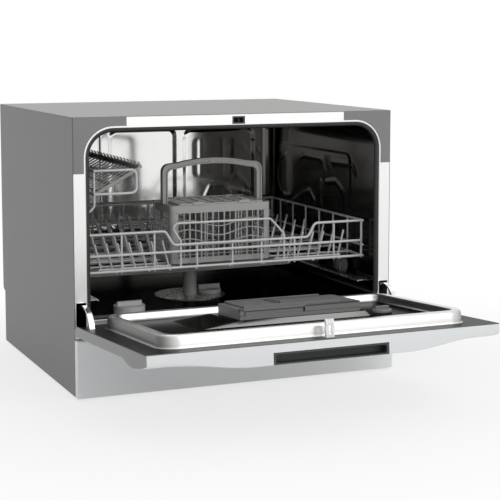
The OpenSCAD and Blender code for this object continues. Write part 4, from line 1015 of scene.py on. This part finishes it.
# Cutlery basket with its lid and handle

CUT_X0, CUT_X1, CUT_Y0, CUT_Y1, CUT_Z0, CUT_Z1 = -97.0, 80.0, 53.0, 140.0, 192.7, 287.7
CUT_WALL, CUT_R = 2.0, 9
CUT_MID = (CUT_X0 + CUT_X1) / 2
MESH_Z0, MESH_Z1 = CUT_Z0 + 8, CUT_Z1 - 12


def basket_frame(s):
    """Corners, rims and floor of the basket."""
    x0, x1, y0, y1, t, r = CUT_X0, CUT_X1, CUT_Y0, CUT_Y1, CUT_WALL, CUT_R
    hollow = round_hole(x0 + t, y0 + t, x1 - t, y1 - t, r - t, 7)
    for z0, z1 in ((CUT_Z0, CUT_Z0 + 9), (CUT_Z1 - 13, CUT_Z1)):
        s.plate(round_rect(x0, y0, x1, y1, r, 7), [hollow], z0, z1)
    holes = [window(x0 + 12 + i * 12.9, x0 + 21.4 + i * 12.9, y0 + 8 + j * 14.4, y0 + 18 + j * 14.4)
             for i in range(12) for j in range(5)]
    s.plate(round_rect(x0 + 0.4, y0 + 0.4, x1 - 0.4, y1 - 0.4, 8.6, 7), holes, CUT_Z0, CUT_Z0 + 2.2)
    left, right, near, far = x0 + r, x1 - r, y0 + r, y1 - r
    for cx, cy, a in ((right, near, -90), (right, far, 0), (left, far, 90), (left, near, 180)):
        post = arc(cx, cy, r, a, a + 90, 7) + arc(cx, cy, r - t, a + 90, a, 7)
        s.prism(post, MESH_Z0, MESH_Z1)


def basket_long_wall(s, y0, y1):
    """Front or back: upright bars, and curved and straight bands."""
    left, wide, n = CUT_X0 + 13, CUT_X1 - CUT_X0 - 26, 15
    for x0, x1 in ((CUT_X0 + 8, left), (CUT_X1 - 13, CUT_X1 - 8)):
        s.box((x0, y0, MESH_Z0), (x1, y1, MESH_Z1))
    for i in range(1, n):
        x, w = left + wide * i / n, 1.5 if i % 2 else 2.6
        s.box((x - w / 2, y0 + 0.1, MESH_Z0), (x + w / 2, y1 - 0.1, MESH_Z1))
    thick, steps, near = 0.9, n * 2, y0 + 0.2
    for m in (0.5, 1.5, 2.5):
        points = []
        for i in range(steps + 1):
            x = left + wide * i / steps
            wave = 5.5 * cos((x - CUT_X0 - 30) / 55 * pi)
            points.append((x, MESH_Z0 + 26 + m * 15 - 7 + wave))
        for ends in zip(points, points[1:]):
            s.loft([[(x, near, z - thick), (x, near, z + thick), (x, near + CUT_WALL - 0.4, z + thick),
                     (x, near + CUT_WALL - 0.4, z - thick)] for x, z in ends])
    for k in range(3):
        z = MESH_Z0 + 7.5 * (k + 0.7)
        s.box((CUT_X0 + 9, y0 + 0.3, z), (CUT_X1 - 9, y1 - 0.3, z + 1.4))


def basket_end_wall(s, x0, x1):
    """Left or right end."""
    for y0, y1 in ((CUT_Y0 + 8, CUT_Y0 + 12), (CUT_Y1 - 12, CUT_Y1 - 8)):
        s.box((x0, y0, MESH_Z0), (x1, y1, MESH_Z1))
    for i in range(1, 8):
        y = CUT_Y0 + 12 + (CUT_Y1 - CUT_Y0 - 24) * i / 8
        s.box((x0 + 0.5, y - 0.7, MESH_Z0), (x1 - 0.6, y + 0.7, MESH_Z1))
    for m in range(8):
        z = MESH_Z0 + 5 + m * 8.6
        s.box((x0 + 0.6, CUT_Y0 + 9, z), (x1 - 0.5, CUT_Y1 - 9, z + 1.2))


def cutlery_basket():
    s = Shape()
    basket_frame(s)
    for y in (CUT_Y0, CUT_Y1 - CUT_WALL):
        basket_long_wall(s, y, y + CUT_WALL)
    for x in (CUT_X0, CUT_X1 - CUT_WALL):
        basket_end_wall(s, x, x + CUT_WALL)
    for k in (1, 2):
        x = CUT_X0 + k * (CUT_X1 - CUT_X0) / 3
        s.box((x, CUT_Y0 + 1, CUT_Z0 + 1), (x + CUT_WALL, CUT_Y1 - 1, MESH_Z1))
    # clips of the handle at both ends
    for x0, x1 in ((CUT_X0 + 0.2, CUT_X0 + 2.6), (CUT_X1 - 2.6, CUT_X1 - 0.2)):
        s.box((x0, 88, CUT_Z1 - 26), (x1, 105, CUT_Z1 - 6))
    s.make("cutlery_lattice", grey_plastic, "cutlery", ["cutlery_basket"], "grey_plastic", bevel=0.3, segs=1,
           angle=40)


def cutlery_lid():
    """Lid with long slots, finger tabs and its hinge."""
    s = Shape()
    x0, x1, y0, y1, z = -83.0, 66.0, CUT_Y0, CUT_Y1, 288.0
    columns, rows, wide, deep = 7, 4, x1 - x0 - 14, y1 - y0 - 16
    holes = []
    for i in range(columns):
        for j in range(rows):
            x, y = x0 + 7 + i * wide / columns + 1.5, y0 + 7 + j * deep / rows + 2
            holes.append(round_hole(x, y, x + wide / columns - 3, y + deep / rows - 5.5, 1.6, 3))
    s.plate(round_rect(x0, y0, x1, y1, 3, 4), holes, z, z + 2.4)
    for x in (x0 + 24, x1 - 44):
        s.box((x, y0 - 1.5, z), (x + 20, y0 + 2.5, z + 3.9))
        s.box((x + 3, y0 - 1.5, z + 3.7), (x + 17, y0 + 0.6, z + 5.2))
    s.tube([(x0, y1, z + 1.8), (x1, y1, z + 1.8)], 2.0, 16)
    for x in (x0 + 22, x1 - 34):
        s.box((x, y1 - 5, z + 1), (x + 12, y1 + 2, z + 4.4))
    s.make("cutlery_lid_plate", grey_plastic, "cutlery_cover", ["cutlery_lid"], "grey_plastic", bevel=0.35,
           angle=40)


HOOP_TOP = 360.7


def hoop(inset):
    """Outline of the handle from its right foot to its left."""
    x, zt = (CUT_X1 - CUT_X0) / 2 - inset, HOOP_TOP - inset
    crown = [(CUT_MID + v, zt - 9.5 * (v / 72.0) ** 2) for v in [68 - 136 * k / 24 for k in range(25)]]
    right = [(p.x, p.z) for p in fillet([(CUT_MID + x, 0, CUT_Z1 - 2), (CUT_MID + x, 0, zt - 9),
                                         (crown[1][0], 0, crown[1][1])], max(3, 20 - inset))]
    return right + crown[2:-2] + [(2 * CUT_MID - a, b) for a, b in right][::-1]


def cutlery_handle():
    """Arched handle: a web between two raised edges."""
    s = Shape()
    y0, y1, web = 90.5, 102.5, 2.2
    for outer, inner, ya, yb in ((0, 2.4, y0, y1), (2.4, 7.2, y0 + web, y1 - web), (7.2, 9.4, y0, y1)):
        s.loft([[(p[0], ya, p[1]), (q[0], ya, q[1]), (q[0], yb, q[1]), (p[0], yb, p[1])]
                for p, q in zip(hoop(outer), hoop(inner))])
    s.box((CUT_MID - 5, y0 + 1, HOOP_TOP - 9.5), (CUT_MID + 5, y1 - 1, HOOP_TOP - 1.2))
    s.make("cutlery_hoop", grey_plastic, "cutlery", ["cutlery_handle"], "grey_plastic", bevel=0.4, angle=40)


for build in (cabinet_sides, cabinet_top, cabinet_back, kick_panel, front_frame, corner_trim, latch_keep,
              tub_gasket, tub_walls, tub_back, roller_rails,
              door_outer_panel, control_panel, grip_pocket, display_and_buttons, door_liner, latch_claw,
              dispenser, rinse_cap,
              rack_front, rack_sides, rack_back, rack_floor, rack_tines, cup_rail, rollers, roller_brackets,
              cup_shelf, cutlery_basket, cutlery_lid, cutlery_handle):
    build()


# Floor and light

def seen_directly(tree):
    """1 for rays from the camera, from mirrors and through glass, 0 for light."""
    camera, mirror, glass = [node(tree, "LightPath", out=kind)
                             for kind in ("Is Camera Ray", "Is Glossy Ray", "Is Transmission Ray")]
    either = node(tree, "Math", {0: camera, 1: mirror}, operation="MAXIMUM")
    return node(tree, "Math", {0: either, 1: glass}, operation="MAXIMUM")


def floor_material():
    """White floor with the object's shadow, which runs out into the background."""
    m, tree = new_material("floor_mat")
    coords = node(tree, "TexCoord", out="Object")
    grain = node(tree, "TexNoise", {"Vector": coords, "Scale": 3}, "Fac")
    tint = mix(tree, grain, (0.895, 0.895, 0.895, 1), (0.905, 0.905, 0.905, 1))
    far = node(tree, "VectorMath", {0: coords}, "Value", operation="LENGTH")
    share = node(tree, "MapRange", {"Value": far, "From Min": 0.3, "From Max": 0.95, "To Min": 0.72,
                                    "To Max": 1.0}, interpolation_type="SMOOTHSTEP")
    weight = node(tree, "Math", {0: share, 1: seen_directly(tree)}, operation="MULTIPLY")
    matte = node(tree, "BsdfDiffuse", {"Color": tint})
    plain = node(tree, "Emission", {"Color": (1, 1, 1, 1), "Strength": 1.0})
    node(tree, "OutputMaterial", {0: node(tree, "MixShader", {0: weight, 1: matte, 2: plain})})
    return m


def light_world():
    """Soft light from all round, seen as plain white."""
    world = bpy.data.worlds.new("world")
    bpy.context.scene.world = world
    world.use_nodes = True
    tree = world.node_tree
    tree.nodes.clear()
    lit = node(tree, "Background", {"Color": (0.97, 0.98, 1.0, 1), "Strength": 0.5})
    white = node(tree, "Background", {"Color": (1, 1, 1, 1), "Strength": 1.0})
    node(tree, "OutputWorld", {0: node(tree, "MixShader", {0: seen_directly(tree), 1: lit, 2: white})})


def area_light(name, place, target, size, power):
    d = bpy.data.lights.new(name, "AREA")
    d.energy, d.shape, d.size, d.size_y = power, "RECTANGLE", size, size
    o = new_object(name, d)
    o.location = place
    aim(o, Vector(target) - Vector(place))


STAGE_HALF, STAGE_Z = 9, -0.0005
corners = [(x * STAGE_HALF, y * STAGE_HALF, STAGE_Z) for x, y in ((-1, -1), (1, -1), (1, 1), (-1, 1))]
floor_mesh = bpy.data.meshes.new("floor")
floor_mesh.from_pydata(corners, [], [(0, 1, 2, 3)])
floor_mesh.materials.append(floor_material())
floor = new_object("floor", floor_mesh)

light_world()
area_light("key", (0.9, -2.8, 1.9), (0, -0.1, 0.2), 2.8, 44)
area_light("top", (0.1, 0.2, 2.6), (0, 0, 0.2), 3.0, 12)

bpy.context.scene.view_settings.view_transform = "Standard"
